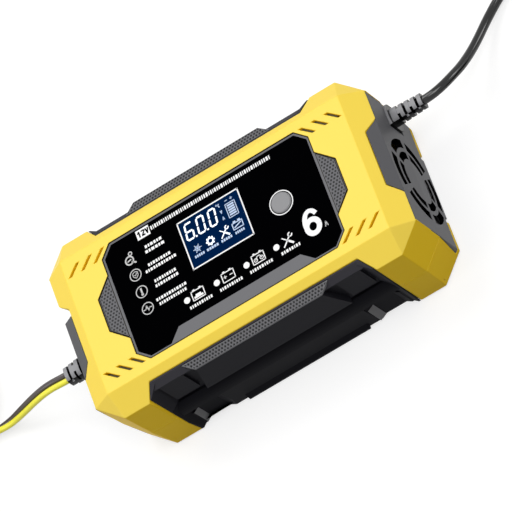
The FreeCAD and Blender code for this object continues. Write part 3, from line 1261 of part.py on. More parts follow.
def coil_tube(name, coil, low, high, diameter, run_in, run_out):
    """A put-away coil as one unbroken tube, with a straight end of one diameter at each side.

    It returns the last two points of the cord that comes in and the first two of the cord that goes out.
    """
    turns = coil["turns_in"] + coil["turns_out"]
    stations = [0.25 * k for k in range(int(turns / 0.25) + 1)]
    if turns - stations[-1] < 0.08:
        stations.pop()
    stations.append(turns)
    spots = [coil_point(coil, low, high, s) for s in stations]
    enter = spots[0][0].sub(Vector(spots[0][1]).multiply(diameter))
    leave = spots[-1][0].add(Vector(spots[-1][1]).multiply(diameter))
    edges = [Part.LineSegment(enter, spots[0][0]).toShape()]
    for (p0, t0), (p1, t1) in zip(spots, spots[1:]):
        edges += biarc(p0, t0, p1, t1)
    edges.append(Part.LineSegment(spots[-1][0], leave).toShape())
    length = tube(name, edges, enter, spots[0][1], diameter / 2)
    lead_in = enter.sub(Vector(spots[0][1]).multiply(run_in))
    lead_out = leave.add(Vector(spots[-1][1]).multiply(run_out))
    fine = [coil_point(coil, low, high, turns * k / 900)[0] for k in range(901)]
    print(f"{name}: least gap between turns {least_gap(fine, diameter):.2f} mm")
    return [tuple(lead_in), tuple(enter)], [tuple(leave), tuple(lead_out)], length


def make_tie(name, coil, diameter, height, angle):
    """A flat tie round the bundle of turns."""
    thin = d["tie_thickness"]
    inner = coil["radius"] - coil["pitch"] * coil["turns_in"]
    low_r, high_r = inner - diameter / 2 - 0.3, coil["radius"] + diameter / 2 + 0.3
    wide = d["tie_width"]
    outer = slab(name + "_outer", (low_r - thin, high_r + thin), (-wide / 2, wide / 2),
                 (d["coil_lift"] - 0.15 - thin, height + 0.3 + thin))
    room = slab(name + "_room", (low_r, high_r), (-wide, wide), (d["coil_lift"] - 0.15, height + 0.3))
    band = cut(name + "_band", outer, [room])
    set_down = group(name, [band])
    x, y = coil["centre"]
    set_down.Placement = Placement(Vector(x, y, 0), Rotation(Vector(0, 0, 1), angle))
    return set_down


def make_mains_cord():
    """The mains cord: a free stretch, its put-away coil, and the end that goes into the plug."""
    diameter = d["mains_cord_diameter"].value
    low = d["coil_lift"].value + diameter / 2
    high = low + diameter + 0.45
    into, out_of, coiled = coil_tube("mains_cord_coil", MAINS_COIL, low, high, diameter, 14.0, 11.4)
    inside = (relief_tip - d["cord_grip"]).value
    y, z = d["inlet_y"].value, entry_z.value
    rest = diameter / 2 + 0.1
    out = free_stretch("mains_cord", [
        (inside, y, z), (inside + 8.5, y, z), (96.6, 26.7, 20.4), (102.2, 30.5, 17.4), (107.0, 35.5, 12.8),
        (112.8, 43.2, 7.6), (120.2, 52.8, 3.8), (129.2, 60.8, rest + 0.1), (138.6, 64.4, rest),
        (148.8, 63.4, rest + 0.1), (157.4, 58.4, rest + 0.2), (163.6, 49.8, rest + 0.3)] + into, diameter)
    plug_x, plug_y = PLUG_PLACE
    plug_z = d["plug_height"].value / 2
    inward = free_stretch("mains_cord_end", out_of + [
        (163.3, -25.4, 6.4), (plug_x, -31.2, plug_z), (plug_x, plug_y, plug_z)], diameter)
    print(f"mains cord in all {out + coiled + inward:.0f} mm")
    return make_tie("mains_tie", MAINS_COIL, diameter, high + diameter / 2, 130)


def make_output_lead():
    """The two wires of the output lead: side by side to the coil, one on the other in it, then parted."""
    diameter, spacing = d["wire_diameter"].value, d["wire_spacing"].value
    low = d["coil_lift"].value + diameter / 2
    layer = 2 * spacing + 0.3
    tip = -(relief_tip - d["cord_grip"]).value
    z = entry_z.value
    middle = [(tip, 0.0, z), (tip - 8.2, 0.0, z), (-99.4, 1.4, z - 1.3), (-108.4, 2.8, z - 5.9),
              (-117.6, 4.3, z - 11.9), (-126.2, 5.6, z - 17.2), (-134.8, 6.3, 2.8)]
    side = [(0, 1, 0), (0, 1, 0), (0, 1, 0), (0.1, 1, 0), (0.05, 1, -0.1), (0, 0.9, -0.45), (0, 0.6, -0.8)]
    half = spacing / 2
    ends = {
        "positive": [(-154.2, -0.4, 8.8), (-156.2, -7.6, 6.6), (-156.6, -15.2, 4.6),
                     (-157.3, -22.6, 3.6), (-157.6, -29.8, 5.5)],
        "negative": [(-154.2, -0.4, 6.2), (-156.0, -7.6, 4.0), (-155.4, -15.2, 2.1),
                     (-153.1, -22.6, 2.9), (-152.2, -29.8, 5.5)],
    }
    beside, deep, z = d["cable_beside"].value, CLAMP_Y - d["cable_depth"].value, d["clamp_thickness"].value / 2
    entries = {"positive": (POSITIVE_CLAMP_X + beside, deep, z),
               "negative": (NEGATIVE_CLAMP_X - beside, deep, z)}
    for wire, sign, raise_by in (("positive", -1, spacing), ("negative", 1, 0.0)):
        into, out_of, coiled = coil_tube(f"{wire}_wire_coil", OUTPUT_COIL, low + raise_by,
                                         low + layer + raise_by, diameter, 8.4, 6.6)
        route = []
        for point, across in zip(middle, side):
            length = math.sqrt(sum(c * c for c in across))
            route.append(tuple(p + sign * half * c / length for p, c in zip(point, across)))
        out = free_stretch(f"{wire}_wire", route + into, diameter)
        inward = free_stretch(f"{wire}_wire_end", out_of + ends[wire] + [entries[wire]], diameter)
        print(f"{wire} wire in all {out + coiled + inward:.0f} mm")
    height = low + layer + spacing + diameter / 2
    return make_tie("output_tie", OUTPUT_COIL, diameter, height, 100)


def make_plug():
    """A flat two-pin plug lying on the surface, pins towards -Y."""
    x, y = PLUG_PLACE
    z = d["plug_height"] / 2
    half, tall = d["plug_width"] / 2, d["plug_height"] / 2
    tail_y = y - d["plug_tail"]
    face_y = tail_y - d["plug_length"]
    corner = 3.4
    outline = [(x + u, z + v) for u, v in four_ways([(half, tall - corner), (half - corner, tall)])]
    body = prism("plug_block", "y", outline, face_y, tail_y)
    shoulder_x, waist = 9.0, 10.5
    shape = [(x - half - 1, face_y - 1), (x + half + 1, face_y - 1), (x + half + 1, face_y + 13.0),
             (x + waist, tail_y - 3.0), (x + shoulder_x - 2.0, tail_y + 1), (x - shoulder_x + 2.0, tail_y + 1),
             (x - waist, tail_y - 3.0), (x - half - 1, face_y + 13.0)]
    narrowed = common("plug_narrowed", [body, prism("plug_plan", "z", shape, -1, d["plug_height"] + 1)])
    tail = turned("plug_tail_piece", [
        (0, 0), (5.6, 0), (5.0, d["plug_tail"] * 0.3), (4.0, d["plug_tail"] * 0.3), (4.0, d["plug_tail"] * 0.42),
        (4.4, d["plug_tail"] * 0.42), (4.0, d["plug_tail"] * 0.7), (3.2, d["plug_tail"] * 0.7),
        (3.2, d["plug_tail"] * 0.8), (3.5, d["plug_tail"] * 0.8), (3.0, d["plug_tail"]), (0, d["plug_tail"])],
        (x, tail_y - 0.01, z), Rotation(Vector(1, 0, 0), -90))
    as_node(fuse("plug_body", [narrowed, tail]), "plug_body")
    pins = []
    for sign in (-1, 1):
        profile = [(0, 0), (d["pin_radius"], 0), (d["pin_radius"], d["pin_length"] - 1.0),
                   (d["pin_radius"] - 0.8, d["pin_length"]), (0, d["pin_length"])]
        pins.append(turned(f"pin_{sign + 1}", profile, (x + sign * d["pin_spacing"] / 2, face_y, z),
                           Rotation(Vector(1, 0, 0), 90)))
    as_node(group("plug_pins", pins), "plug_pins")


def make_clamp(name, x, cable_side):
    """A battery clamp lying flat, handles at CLAMP_Y and jaws towards -Y.

    The half on the cable's side stays still, and the other half turns about the pin.
    """
    thick, length, pivot, grip = (d["clamp_thickness"], d["clamp_length"], d["clamp_pivot"], d["clamp_grip"])
    lug = d["clamp_lug_radius"]
    pivot_y = CLAMP_Y - pivot
    layers = {"fixed": ((0.0, 2.3), (8.7, thick)), "moving": ((2.6, 4.1), (6.9, 8.4))}
    made = {}
    for role, side in (("fixed", cable_side), ("moving", -cable_side)):
        outline = [(0.0, 7.8), (0.0, grip), (11.0, grip - 0.2), (29.0, 7.4), (44.0, 6.9), (57.0, 5.2),
                   (length, 2.8), (length, 1.3), (41.0, 1.3), (38.6, 4.6), (29.0, 4.8), (24.0, 5.4), (9.5, 7.8)]
        points = [(x + side * w, CLAMP_Y - u) for u, w in outline]
        half = prism(f"{name}_{role}_half", "z", points, 0.0, thick)
        lugs = [rod(f"{name}_{role}_lug_{i}", lug, high - low, (x, pivot_y, low))
                for i, (low, high) in enumerate(layers[role])]
        webs = [slab(f"{name}_{role}_web_{i}", sorted([x, x + side * 6.0]), (pivot_y - 3.4, pivot_y + 3.4),
                     (low, high)) for i, (low, high) in enumerate(layers[role])]
        other = "moving" if role == "fixed" else "fixed"
        rooms = [rod(f"{name}_{role}_room_{i}", lug + 1.0, high - low + 0.6, (x, pivot_y, low - 0.3))
                 for i, (low, high) in enumerate(layers[other])]
        spring_room = rod(f"{name}_{role}_spring_room", lug + 0.6, 3.6, (x, pivot_y, thick / 2 - 1.8))
        bore_gap = 0.05 if role == "moving" else 0.02
        bore = rod(f"{name}_{role}_bore", d["clamp_pin_radius"] + bore_gap, thick + 2, (x, pivot_y, -1.0))
        whole = fuse(f"{name}_{role}_whole", [cut(f"{name}_{role}_cleared", half, rooms + [spring_room])]
                     + lugs + webs)
        tools = [bore, rod(f"{name}_{role}_spring_gap", lug + 0.3, 2.8, (x, pivot_y, thick / 2 - 1.4))]
        if role == "fixed":
            depth = d["cable_depth"]
            tools.append(rod(f"{name}_cable_hole", d["wire_diameter"] / 2 + d["cord_clearance"], depth + 1,
                             (x + side * d["cable_beside"], CLAMP_Y - depth, thick / 2), "y"))
        else:
            sweep = rod(f"{name}_sweep", lug + 1.0, 2.9, (x, pivot_y, -0.3))
            sweep_high = rod(f"{name}_sweep_high", lug + 1.0, 3.0, (x, pivot_y, 8.4))
            tools += [sweep, sweep_high]
        made[role] = as_node(cut(f"{name}_{role}_jaw", whole, tools), f"{name}_{role}_jaw")
        teeth_low, teeth_high, tooth, deep = 43.5, 61.0, 2.5, 0.5
        teeth = [(teeth_low, 1.3)]
        count = int((teeth_high - teeth_low) / tooth)
        for k in range(count):
            at = teeth_low + k * tooth
            teeth += [(at, 0.15), (at + tooth * 0.55, 0.15), (at + tooth * 0.78, deep + 0.15)]
        end = teeth_low + count * tooth
        teeth += [(end, 0.15), (end, 1.3)]
        points = [(x + side * w, CLAMP_Y - u) for u, w in teeth]
        made[role + "_contact"] = prism(f"{name}_{role}_teeth", "z", points, 2.0, thick - 2.0)
    pin = rod(f"{name}_pin", d["clamp_pin_radius"], thick - 0.1, (x, pivot_y, 0.05))
    spring = cut(f"{name}_spring", rod(f"{name}_spring_coil", 3.6, 2.2, (x, pivot_y, thick / 2 - 1.1)),
                 [rod(f"{name}_spring_bore", d["clamp_pin_radius"] + 0.3, 4.0, (x, pivot_y, thick / 2 - 2))])
    as_node(made["moving_contact"], f"{name}_moving_teeth")
    return made["fixed_contact"], pin, spring


def make_clamps():
    """Both battery clamps, each with its cable on the inner side."""
    parts = [make_clamp("positive_clamp", POSITIVE_CLAMP_X, 1), make_clamp("negative_clamp", NEGATIVE_CLAMP_X, -1)]
    for name, index in (("fixed_clamp_teeth", 0), ("clamp_pins", 1), ("clamp_springs", 2)):
        as_node(group(name, [pair[index] for pair in parts]), name)


def check_all():
    """Stops the run if an object failed or a sub-part has no proper solid."""
    for thing in document.Objects:
        bad = [s for s in thing.State if s in ("Invalid", "Error")]
        if bad:
            raise RuntimeError(f"{thing.Name} is {bad}")
    for name, thing in nodes:
        shape = thing.Shape
        if shape.isNull() or not shape.isValid() or not shape.Solids:
            raise RuntimeError(f"{name} has no valid solid")


def export_all():
    """Writes one STEP file for each sub-part."""
    os.makedirs("parts", exist_ok=True)
    for name, thing in nodes:
        thing.Shape.exportStep(os.path.join("parts", name + ".step"))
        box = thing.Shape.BoundBox
        print(f"{name}: {len(thing.Shape.Solids)} solid, x {box.XMin:.1f} {box.XMax:.1f}, "
              f"y {box.YMin:.1f} {box.YMax:.1f}, z {box.ZMin:.2f} {box.ZMax:.2f}")
    print(len(nodes), "sub-parts")


case = case_form("case")
case_outline = prism("case_outline", "z", notched_outline(), -1, BIG)
make_upper_shell(case, case_outline)
make_lower_shell(case, case_outline)
make_fan_end_panel(case)
make_output_end_panel(case)
make_side_trims(case)
board_low, lamp_chips = make_display()
make_screws_and_feet(board_low)
board_top = make_main_board(lamp_chips)
make_ribbon(board_top, board_low)
make_fan()
make_strain_relief("mains_strain_relief", 1, d["inlet_y"], d["mains_relief_radius"],
                   d["mains_relief_tip_radius"], [(0.0, d["mains_cord_diameter"] / 2)])
wire_radius, beside = d["wire_diameter"] / 2, d["wire_spacing"] / 2
make_strain_relief("output_strain_relief", -1, 0, d["relief_radius"], d["relief_tip_radius"],
                   [(beside, wire_radius), (-beside, wire_radius)])
mains_tie = make_mains_cord()
output_tie = make_output_lead()
as_node(group("cord_ties", [mains_tie, output_tie]), "cord_ties")
make_plug()
make_clamps()
document.recompute()
check_all()
export_all()
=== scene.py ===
# %% [markdown]
# A car battery charger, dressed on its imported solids.
# The case is a flat yellow moulding with a black display panel, dark side trims and a fan in one end.
# The solids carry every size, so this file adds finish: softened edges, printing, grip pits and cords.
# Each step is a short text like this one and then a short piece of code.

# %% Load the solids
import json

import bmesh
import bpy
import numpy as np
from mathutils import Matrix, Vector


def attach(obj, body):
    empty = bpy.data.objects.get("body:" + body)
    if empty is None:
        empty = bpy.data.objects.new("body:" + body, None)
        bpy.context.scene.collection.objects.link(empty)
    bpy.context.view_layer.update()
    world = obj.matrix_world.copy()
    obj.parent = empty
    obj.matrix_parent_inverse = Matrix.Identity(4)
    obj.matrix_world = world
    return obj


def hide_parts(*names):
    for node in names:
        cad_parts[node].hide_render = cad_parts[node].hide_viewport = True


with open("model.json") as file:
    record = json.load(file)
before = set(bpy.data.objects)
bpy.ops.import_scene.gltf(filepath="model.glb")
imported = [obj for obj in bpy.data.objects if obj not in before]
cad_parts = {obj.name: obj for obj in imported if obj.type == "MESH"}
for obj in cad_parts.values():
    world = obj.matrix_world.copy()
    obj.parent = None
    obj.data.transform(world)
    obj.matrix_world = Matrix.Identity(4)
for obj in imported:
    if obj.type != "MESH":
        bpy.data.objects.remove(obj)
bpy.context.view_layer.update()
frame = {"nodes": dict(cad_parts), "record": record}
MM = 0.001

# %% [markdown]
# Whatever is added, a camera, a lamp or a piece, comes into the scene in the same way: a block of data, an
# object that shows it, and a link to the scene. Blender's operators could do it too, but they depend on
# what is selected, and this way doesn't.

# %% Adding an object
def add_object(name, data):
    """A new object for the data, linked into the scene."""
    added = bpy.data.objects.new(name, data)
    bpy.context.scene.collection.objects.link(added)
    return added


# %% [markdown]
# The camera comes before the finishes, because everything else is judged through it. It looks down at the
# display from about two and a half metres with a long lens, rolled to one side. Three angles could say
# where it looks, but here its three axes are written as directions in the object's own frame, which are
# easy to compare with the edges of the case.

# %% Camera
right = Vector((0.8213, -0.3114, -0.4779)).normalized()
up = Vector((0.4887, 0.8164, 0.3077))
up = (up - right * up.dot(right)).normalized()
back = right.cross(up)
view_width = 0.1975
distance = 2.4
top_middle = Vector((0, 0, 47.9 * MM))
aside, below = 13.19 * MM, 4.15 * MM
aim = top_middle + right * aside - up * below

camera_data = bpy.data.cameras.new("camera")
camera_data.sensor_width = 36.0
camera_data.lens = camera_data.sensor_width * distance / view_width
camera_data.clip_start = 0.1
camera_data.clip_end = 20.0
camera = add_object("camera", camera_data)
turned = Matrix((right, up, back)).transposed().to_4x4()
camera.matrix_world = Matrix.Translation(aim + back * distance) @ turned
bpy.context.scene.camera = camera
print("lens:", round(camera_data.lens), "mm")

# %% [markdown]
# Finishes are Principled shaders. Colours are written as they look on a screen, from 0 to 255, and turned
# into the linear values that a shader needs. A moulded surface has a very fine grain. An image could give
# it, but a little noise as bump has no seams.

# %% Finishes
def linear(red, green, blue):
    """Screen colour to linear light: each channel, less its offset, to the power 2.4."""
    c = np.array([red, green, blue]) / 255.0
    return tuple(np.where(c <= 0.04045, c / 12.92, ((c + 0.055) / 1.055) ** 2.4)) + (1.0,)


grain_scale, grain_height = 2500.0, 0.04 * MM


def finish(name, colour, roughness, grain=0.0, **sockets):
    """A plain finish, with a fine grain of the given height where it isn't 0."""
    material = bpy.data.materials.new(name)
    material.use_nodes = True
    nodes, links = material.node_tree.nodes, material.node_tree.links
    shader = nodes["Principled BSDF"]
    shader.inputs["Base Color"].default_value = linear(*colour)
    shader.inputs["Roughness"].default_value = roughness
    for socket, value in sockets.items():
        shader.inputs[socket.replace("_", " ")].default_value = value
    if grain:
        where = nodes.new("ShaderNodeTexCoord")
        noise = nodes.new("ShaderNodeTexNoise")
        noise.inputs["Scale"].default_value = grain_scale
        noise.inputs["Detail"].default_value = 3.0
        bump = nodes.new("ShaderNodeBump")
        bump.inputs["Strength"].default_value = grain
        bump.inputs["Distance"].default_value = grain_height
        links.new(where.outputs["Object"], noise.inputs["Vector"])
        links.new(noise.outputs["Fac"], bump.inputs["Height"])
        links.new(bump.outputs["Normal"], shader.inputs["Normal"])
    material.diffuse_color = linear(*colour)
    return material


# The top's paler yellow stands partly for a painted sheen, and the deeper yellow of the shells' upright faces
# is painted shade.
yellow = finish("yellow moulding", (250, 219, 82), 0.4, grain=0.3, Specular_IOR_Level=0.25)
yellow_upright_painted_shade = finish("yellow moulding, upright faces", (250, 208, 30), 0.5, grain=0.5,
                        Specular_IOR_Level=0.08)
end_grey = finish("grey moulding", (84, 84, 87), 0.5, grain=0.5, Specular_IOR_Level=0.25)
bezel_grey = finish("bezel grey", (104, 104, 107), 0.5, grain=0.3, Specular_IOR_Level=0.2)
trim_black = finish("dark trim", (27, 27, 32), 0.55, grain=0.4, Specular_IOR_Level=0.05)
# The paler grey of the trims' upward faces is painted light.
trim_painted_light = finish("dark trim, upper faces", (58, 57, 62), 0.55, grain=0.4, Specular_IOR_Level=0.05)
skirt_black = finish("dark skirt", (19, 19, 23), 0.55, grain=0.4, Specular_IOR_Level=0.03)
line_dark = finish("dark joint line", (40, 36, 24), 0.7, Specular_IOR_Level=0.0)
panel_black = finish("black panel", (2, 2, 3), 0.4, Specular_IOR_Level=0.0)
print_white = finish("white print", (246, 246, 246), 0.5, Specular_IOR_Level=0.1)
print_grey = finish("pale print", (200, 200, 200), 0.5, Specular_IOR_Level=0.1)
button_grey = finish("button grey", (138, 138, 140), 0.42, grain=0.2, Specular_IOR_Level=0.2)
rubber_black = finish("black rubber", (22, 22, 24), 0.6, grain=0.3, Specular_IOR_Level=0.2)
boot_black = finish("strain relief", (8, 8, 9), 0.2, Specular_IOR_Level=0.15)
# The pale grey of the strain reliefs' upward faces is painted light.
boot_painted_light = finish("strain relief, upward faces", (146, 146, 149), 0.35, Specular_IOR_Level=0.3)
cord_black = finish("cord sheath", (9, 9, 10), 0.13, Specular_IOR_Level=0.5)
wire_yellow = finish("yellow wire", (250, 243, 66), 0.3)
wire_grey = finish("grey wire", (72, 64, 64), 0.3)
# This light grey is a painted highlight on the skirts' slanting ends.
painted_highlight_grey = finish("painted highlight facets", (112, 112, 114), 0.4, Specular_IOR_Level=0.2)
# This black is painted shade: on the grille slots' walls, on the sheet behind the grille and on the cores
# between the ribs of the strain reliefs.
painted_shade_black = finish("grille depths", (6, 6, 6), 0.8, Specular_IOR_Level=0.0)
baffle_grey = finish("vent baffle", (84, 82, 62), 0.6, Specular_IOR_Level=0.1)
steel = finish("plated steel", (190, 190, 188), 0.28, Metallic=1.0)
copper = finish("enamelled copper", (150, 78, 44), 0.35, Metallic=0.7)
aluminium = finish("extruded aluminium", (180, 181, 183), 0.4, Metallic=1.0)
ferrite = finish("ferrite", (48, 48, 50), 0.7)
tape = finish("winding tape", (226, 196, 60), 0.45)
board_green = finish("board lacquer", (20, 86, 46), 0.35)
part_black = finish("component black", (14, 14, 15), 0.6, Specular_IOR_Level=0.15)
white_plastic = finish("white plastic", (225, 225, 222), 0.5)
lens_white = finish("lamp lens", (250, 250, 248), 0.3)
grip_black = finish("clamp grip black", (26, 26, 28), 0.45, grain=0.4)
print("finishes:", len(bpy.data.materials))

# %% [markdown]
# Every solid gets the finish of its material slot in the record, so a piece that is hidden in the case is
# right too. The pieces could be coated one by one, but a table by slot leaves none of them out.

# %% Finishes on the solids
slot_finish = {
    "yellow_plastic": yellow, "grey_plastic": end_grey, "dark_plastic": trim_black,
    "black_gloss": panel_black, "black_matte": part_black, "white_plastic": white_plastic,
    "display_glass": panel_black, "lens_plastic": lens_white, "board_green": board_green, "steel": steel,
    "aluminium": aluminium,
    "black_rubber": rubber_black, "yellow_rubber": wire_yellow, "grey_rubber": wire_grey, "ferrite": ferrite,
    "winding_tape": tape, "winding_copper": copper, "yellow_grip": yellow, "black_grip": grip_black,
}
node_slot = {part["node"]: part["material_slot"] for part in frame["record"]["subparts"]}


def coat(piece, material):
    """Gives a piece one finish and no other."""
    piece.data.materials.clear()
    piece.data.materials.append(material)


for node, solid in frame["nodes"].items():
    coat(solid, slot_finish[node_slot[node]])
for node in ("display_bezel", "front_grip_strip", "rear_grip_strip"):
    coat(frame["nodes"][node], bezel_grey)
coat(frame["nodes"]["mode_button"], button_grey)
for node in ("front_side_skirt", "rear_side_skirt"):
    coat(frame["nodes"][node], skirt_black)
print("slots used:", len(set(node_slot.values())))

# %% [markdown]
# A moulded edge is never perfectly sharp: it catches a thin line of light. Fillets on the solids could give
# that too, at the price of many more faces. Here a copy of a solid is welded, its flat faces are joined,
# and a Bevel modifier rounds what is left by a fraction of a millimetre. The copy then stands for the
# solid, which stays as it is.

# %% Softened copies of the mouldings
def body_of(node):
    """The body that a solid belongs to."""
    return next(name for name, members in frame["record"]["behaviour"]["bodies"].items() if node in members)


crease = 0.28
weld_distance, flat_angle = 0.002 * MM, 0.01


def soften(node, width):
    """A welded copy of a solid whose edges, where sharper than the crease, are rounded by width in metres.

    With a width of 0 the edges stay as they are.
    """
    solid = frame["nodes"][node]
    mesh = solid.data.copy()
    shape = bmesh.new()
    shape.from_mesh(mesh)
    bmesh.ops.remove_doubles(shape, verts=shape.verts, dist=weld_distance)
    bmesh.ops.dissolve_degenerate(shape, dist=weld_distance, edges=shape.edges)
    bmesh.ops.dissolve_limit(shape, angle_limit=flat_angle, verts=shape.verts, edges=shape.edges)
    for face in shape.faces:
        face.smooth = True
    for edge in shape.edges:
        edge.smooth = len(edge.link_faces) == 2 and edge.calc_face_angle(0.0) < crease
    shape.to_mesh(mesh)
    shape.free()
    copy = add_object("soft_" + node, mesh)
    coat(copy, solid.data.materials[0])
    if width:
        bevel = copy.modifiers.new("edges", "BEVEL")
        bevel.limit_method = "ANGLE"
        bevel.angle_limit = crease
        bevel.width = width
        bevel.segments = 2
        bevel.use_clamp_overlap = False
        bevel.harden_normals = True
    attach(copy, body_of(node))
    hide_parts(node)
    return copy


soft = {}
for node, width in (
    ("upper_shell", 0.35), ("lower_shell", 0.35), ("fan_end_panel", 0.2), ("output_end_panel", 0.2),
    ("display_bezel", 0.12), ("plug_body", 0.8), ("front_side_panel", 0), ("rear_side_panel", 0),
    ("positive_clamp_fixed_jaw", 0.3), ("positive_clamp_moving_jaw", 0.3),
    ("negative_clamp_fixed_jaw", 0.3), ("negative_clamp_moving_jaw", 0.3),
):
    soft[node] = soften(node, width * MM)
print("softened pieces:", len(soft))

# %% [markdown]
# Some mouldings get painted light and shade by the direction of their faces. Lamps alone could do that for
# one view, but a second finish on the chosen faces holds from every side. Little light reaches into the slots
# of the fan grille, so their walls are painted black as shade: they are the faces near the fan's axis that
# don't look along it. The upward faces of the side trims are painted paler than the rest as painted light,
# and the upright faces of the yellow shells get a deeper yellow than the top as painted shade, beside the
# top's paler yellow, which is partly a painted sheen.

# %% Painted shade in grille slots and on upright faces, painted light on upper faces
fan_y, fan_z, grille_reach, panel_start = -4.2 * MM, 20.5 * MM, 19.3 * MM, 60 * MM
along_axis, trim_upward, trim_foot, shell_upward = 0.5, 0.25, 40 * MM, 0.3


def face_table(mesh):
    """Middles and normals of a mesh's faces, one row for each."""
    centre, normal = np.empty(len(mesh.polygons) * 3), np.empty(len(mesh.polygons) * 3)
    mesh.polygons.foreach_get("center", centre)
    mesh.polygons.foreach_get("normal", normal)
    return centre.reshape(-1, 3), normal.reshape(-1, 3)


def second_finish(piece, material, chosen):
    """Gives the chosen faces of a piece one more finish."""
    mesh = piece.data
    mesh.materials.append(material)
    which = np.empty(len(mesh.polygons), np.int32)
    mesh.polygons.foreach_get("material_index", which)
    which[chosen] = len(mesh.materials) - 1
    mesh.polygons.foreach_set("material_index", which)
    print(piece.name, "faces in", material.name + ":", int(chosen.sum()))


centre, normal = face_table(soft["fan_end_panel"].data)
near_axis = np.hypot(centre[:, 1] - fan_y, centre[:, 2] - fan_z) < grille_reach
slot_walls = near_axis & (np.abs(normal[:, 0]) < along_axis) & (centre[:, 0] > panel_start)
second_finish(soft["fan_end_panel"], painted_shade_black, slot_walls)
for node in ("front_side_panel", "rear_side_panel"):
    centre, normal = face_table(soft[node].data)
    second_finish(soft[node], trim_painted_light, (normal[:, 2] > trim_upward) & (centre[:, 2] > trim_foot))
for node in ("upper_shell", "lower_shell"):
    centre, normal = face_table(soft[node].data)
    second_finish(soft[node], yellow_upright_painted_shade, normal[:, 2] < shell_upward)

# %% [markdown]
# A cord could be a mesh swept once and for all, but a curve with a round section keeps its few points. They
# are the points that the solids follow, so it lies where they lie. A NURBS curve of order three touches the
# middle of each leg between two points, like a quadratic spline.

# %% Cord helper
def cord_curve(name, points, diameter, material):
    """A round cord whose middle line is a quadratic spline of the points, given in metres."""
    curve = bpy.data.curves.new(name, "CURVE")
    curve.dimensions = "3D"
    curve.bevel_depth = diameter / 2
    curve.bevel_resolution = 6
    curve.resolution_u = 6
    curve.use_fill_caps = True
    spline = curve.splines.new("NURBS")
    spline.points.add(len(points) - 1)
    spline.points.foreach_set("co", np.c_[points, np.ones(len(points))].ravel())
    spline.order_u = 3
    spline.use_endpoint_u = True
    curve.materials.append(material)
    cord = add_object(name, curve)
    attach(cord, "case")
    return cord


def coil_line(centre, radius, pitch, turns_in, turns_out, start, low, high, per_turn=24):
    """Middle line of a put-away coil.

    The radius falls by one pitch for each turn, is rounded over a quarter turn each way where it reverses,
    and grows again. The height climbs from low to high in that half turn by the smooth step 3s^2 - 2s^3.
    """
    turns = turns_in + turns_out
    along = np.linspace(0, turns, int(turns * per_turn) + 1)
    ease = 0.25
    away = along - turns_in
    near = np.abs(away) < ease
    reach = np.where(near, away ** 2 / (2 * ease) + ease / 2, np.abs(away))
    r = radius - pitch * turns_in + pitch * reach
    share = np.clip((away + ease) / (2 * ease), 0, 1)
    z = low + (high - low) * share * share * (3 - 2 * share)
    angle = np.radians(start) - 2 * np.pi * along
    return np.c_[centre[0] + r * np.cos(angle), centre[1] + r * np.sin(angle), z]


def line_length(points):
    """Length of the line through the points."""
    return float(np.linalg.norm(np.diff(points, axis=0), axis=1).sum())


# %% [markdown]
# The mains cord leaves the fan end through its strain relief, bends down to the surface, runs out of the
# view and ends in a tied coil and a two-pin plug. Its open part is a short list of points, and its coil is
# worked out, as a coil is too regular to place by hand. All are in millimetres.

# %% Mains cord
mains_coil = coil_line(centre=(149.5, 8.0), radius=27.0, pitch=4.3, turns_in=2.5, turns_out=2.64,
                       start=20.0, low=2.65, high=6.9)
mains_out = np.array([
    (81.9, 25.3, 21.3), (90.4, 25.3, 21.3), (96.6, 26.7, 20.4), (102.2, 30.5, 17.4), (107.0, 35.5, 12.8),
    (112.8, 43.2, 7.6), (120.2, 52.8, 3.8), (129.2, 60.8, 2.1), (138.6, 64.4, 2.0), (148.8, 63.4, 2.1),
    (157.4, 58.4, 2.2), (163.6, 49.8, 2.3), (168.3, 37.3, 2.65)])
mains_in = np.array([(166.0, -19.0, 6.9), (163.3, -25.4, 6.4), (162.3, -31.2, 6.7), (162.3, -38.4, 6.7)])
mains_line = np.r_[mains_out, mains_coil, mains_in] * MM
mains_cord = cord_curve("mains_flex", mains_line, 3.8 * MM, cord_black)
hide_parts("mains_cord", "mains_cord_coil", "mains_cord_end")
print("mains cord:", round(line_length(mains_line), 3), "m")

# %% [markdown]
# The output lead is two thin wires, yellow for plus and grey for minus. Each could have a list of its own,
# but they leave the case side by side, so both follow one middle line, half a spacing to each side of it.
# In the coil one wire lies on the other, and after it they part, each to its own clamp.

# %% Output lead
lead_middle = np.array([(-81.9, 0, 21.3), (-90.1, 0, 21.3), (-99.4, 1.4, 20.0), (-108.4, 2.8, 15.4),
                        (-117.6, 4.3, 9.4), (-126.2, 5.6, 4.1), (-134.8, 6.3, 2.8)])
lead_across = np.array([(0, 1, 0), (0, 1, 0), (0, 1, 0), (0.1, 1, 0), (0.05, 1, -0.1), (0, 0.9, -0.45),
                        (0, 0.6, -0.8)])
lead_across = lead_across / np.linalg.norm(lead_across, axis=1)[:, None]
lead_ends = {
    "positive": [(-154.2, -0.4, 8.8), (-156.2, -7.6, 6.6), (-156.6, -15.2, 4.6), (-157.3, -22.6, 3.6),
                 (-157.6, -29.8, 5.5), (-157.8, -45.5, 5.5)],
    "negative": [(-154.2, -0.4, 6.2), (-156.0, -7.6, 4.0), (-155.4, -15.2, 2.1), (-153.1, -22.6, 2.9),
                 (-152.2, -29.8, 5.5), (-152.0, -45.5, 5.5)],
}
half_spacing, lead_in, run_out = 1.35, np.array([10.9, 0.2, 0]), 9.1
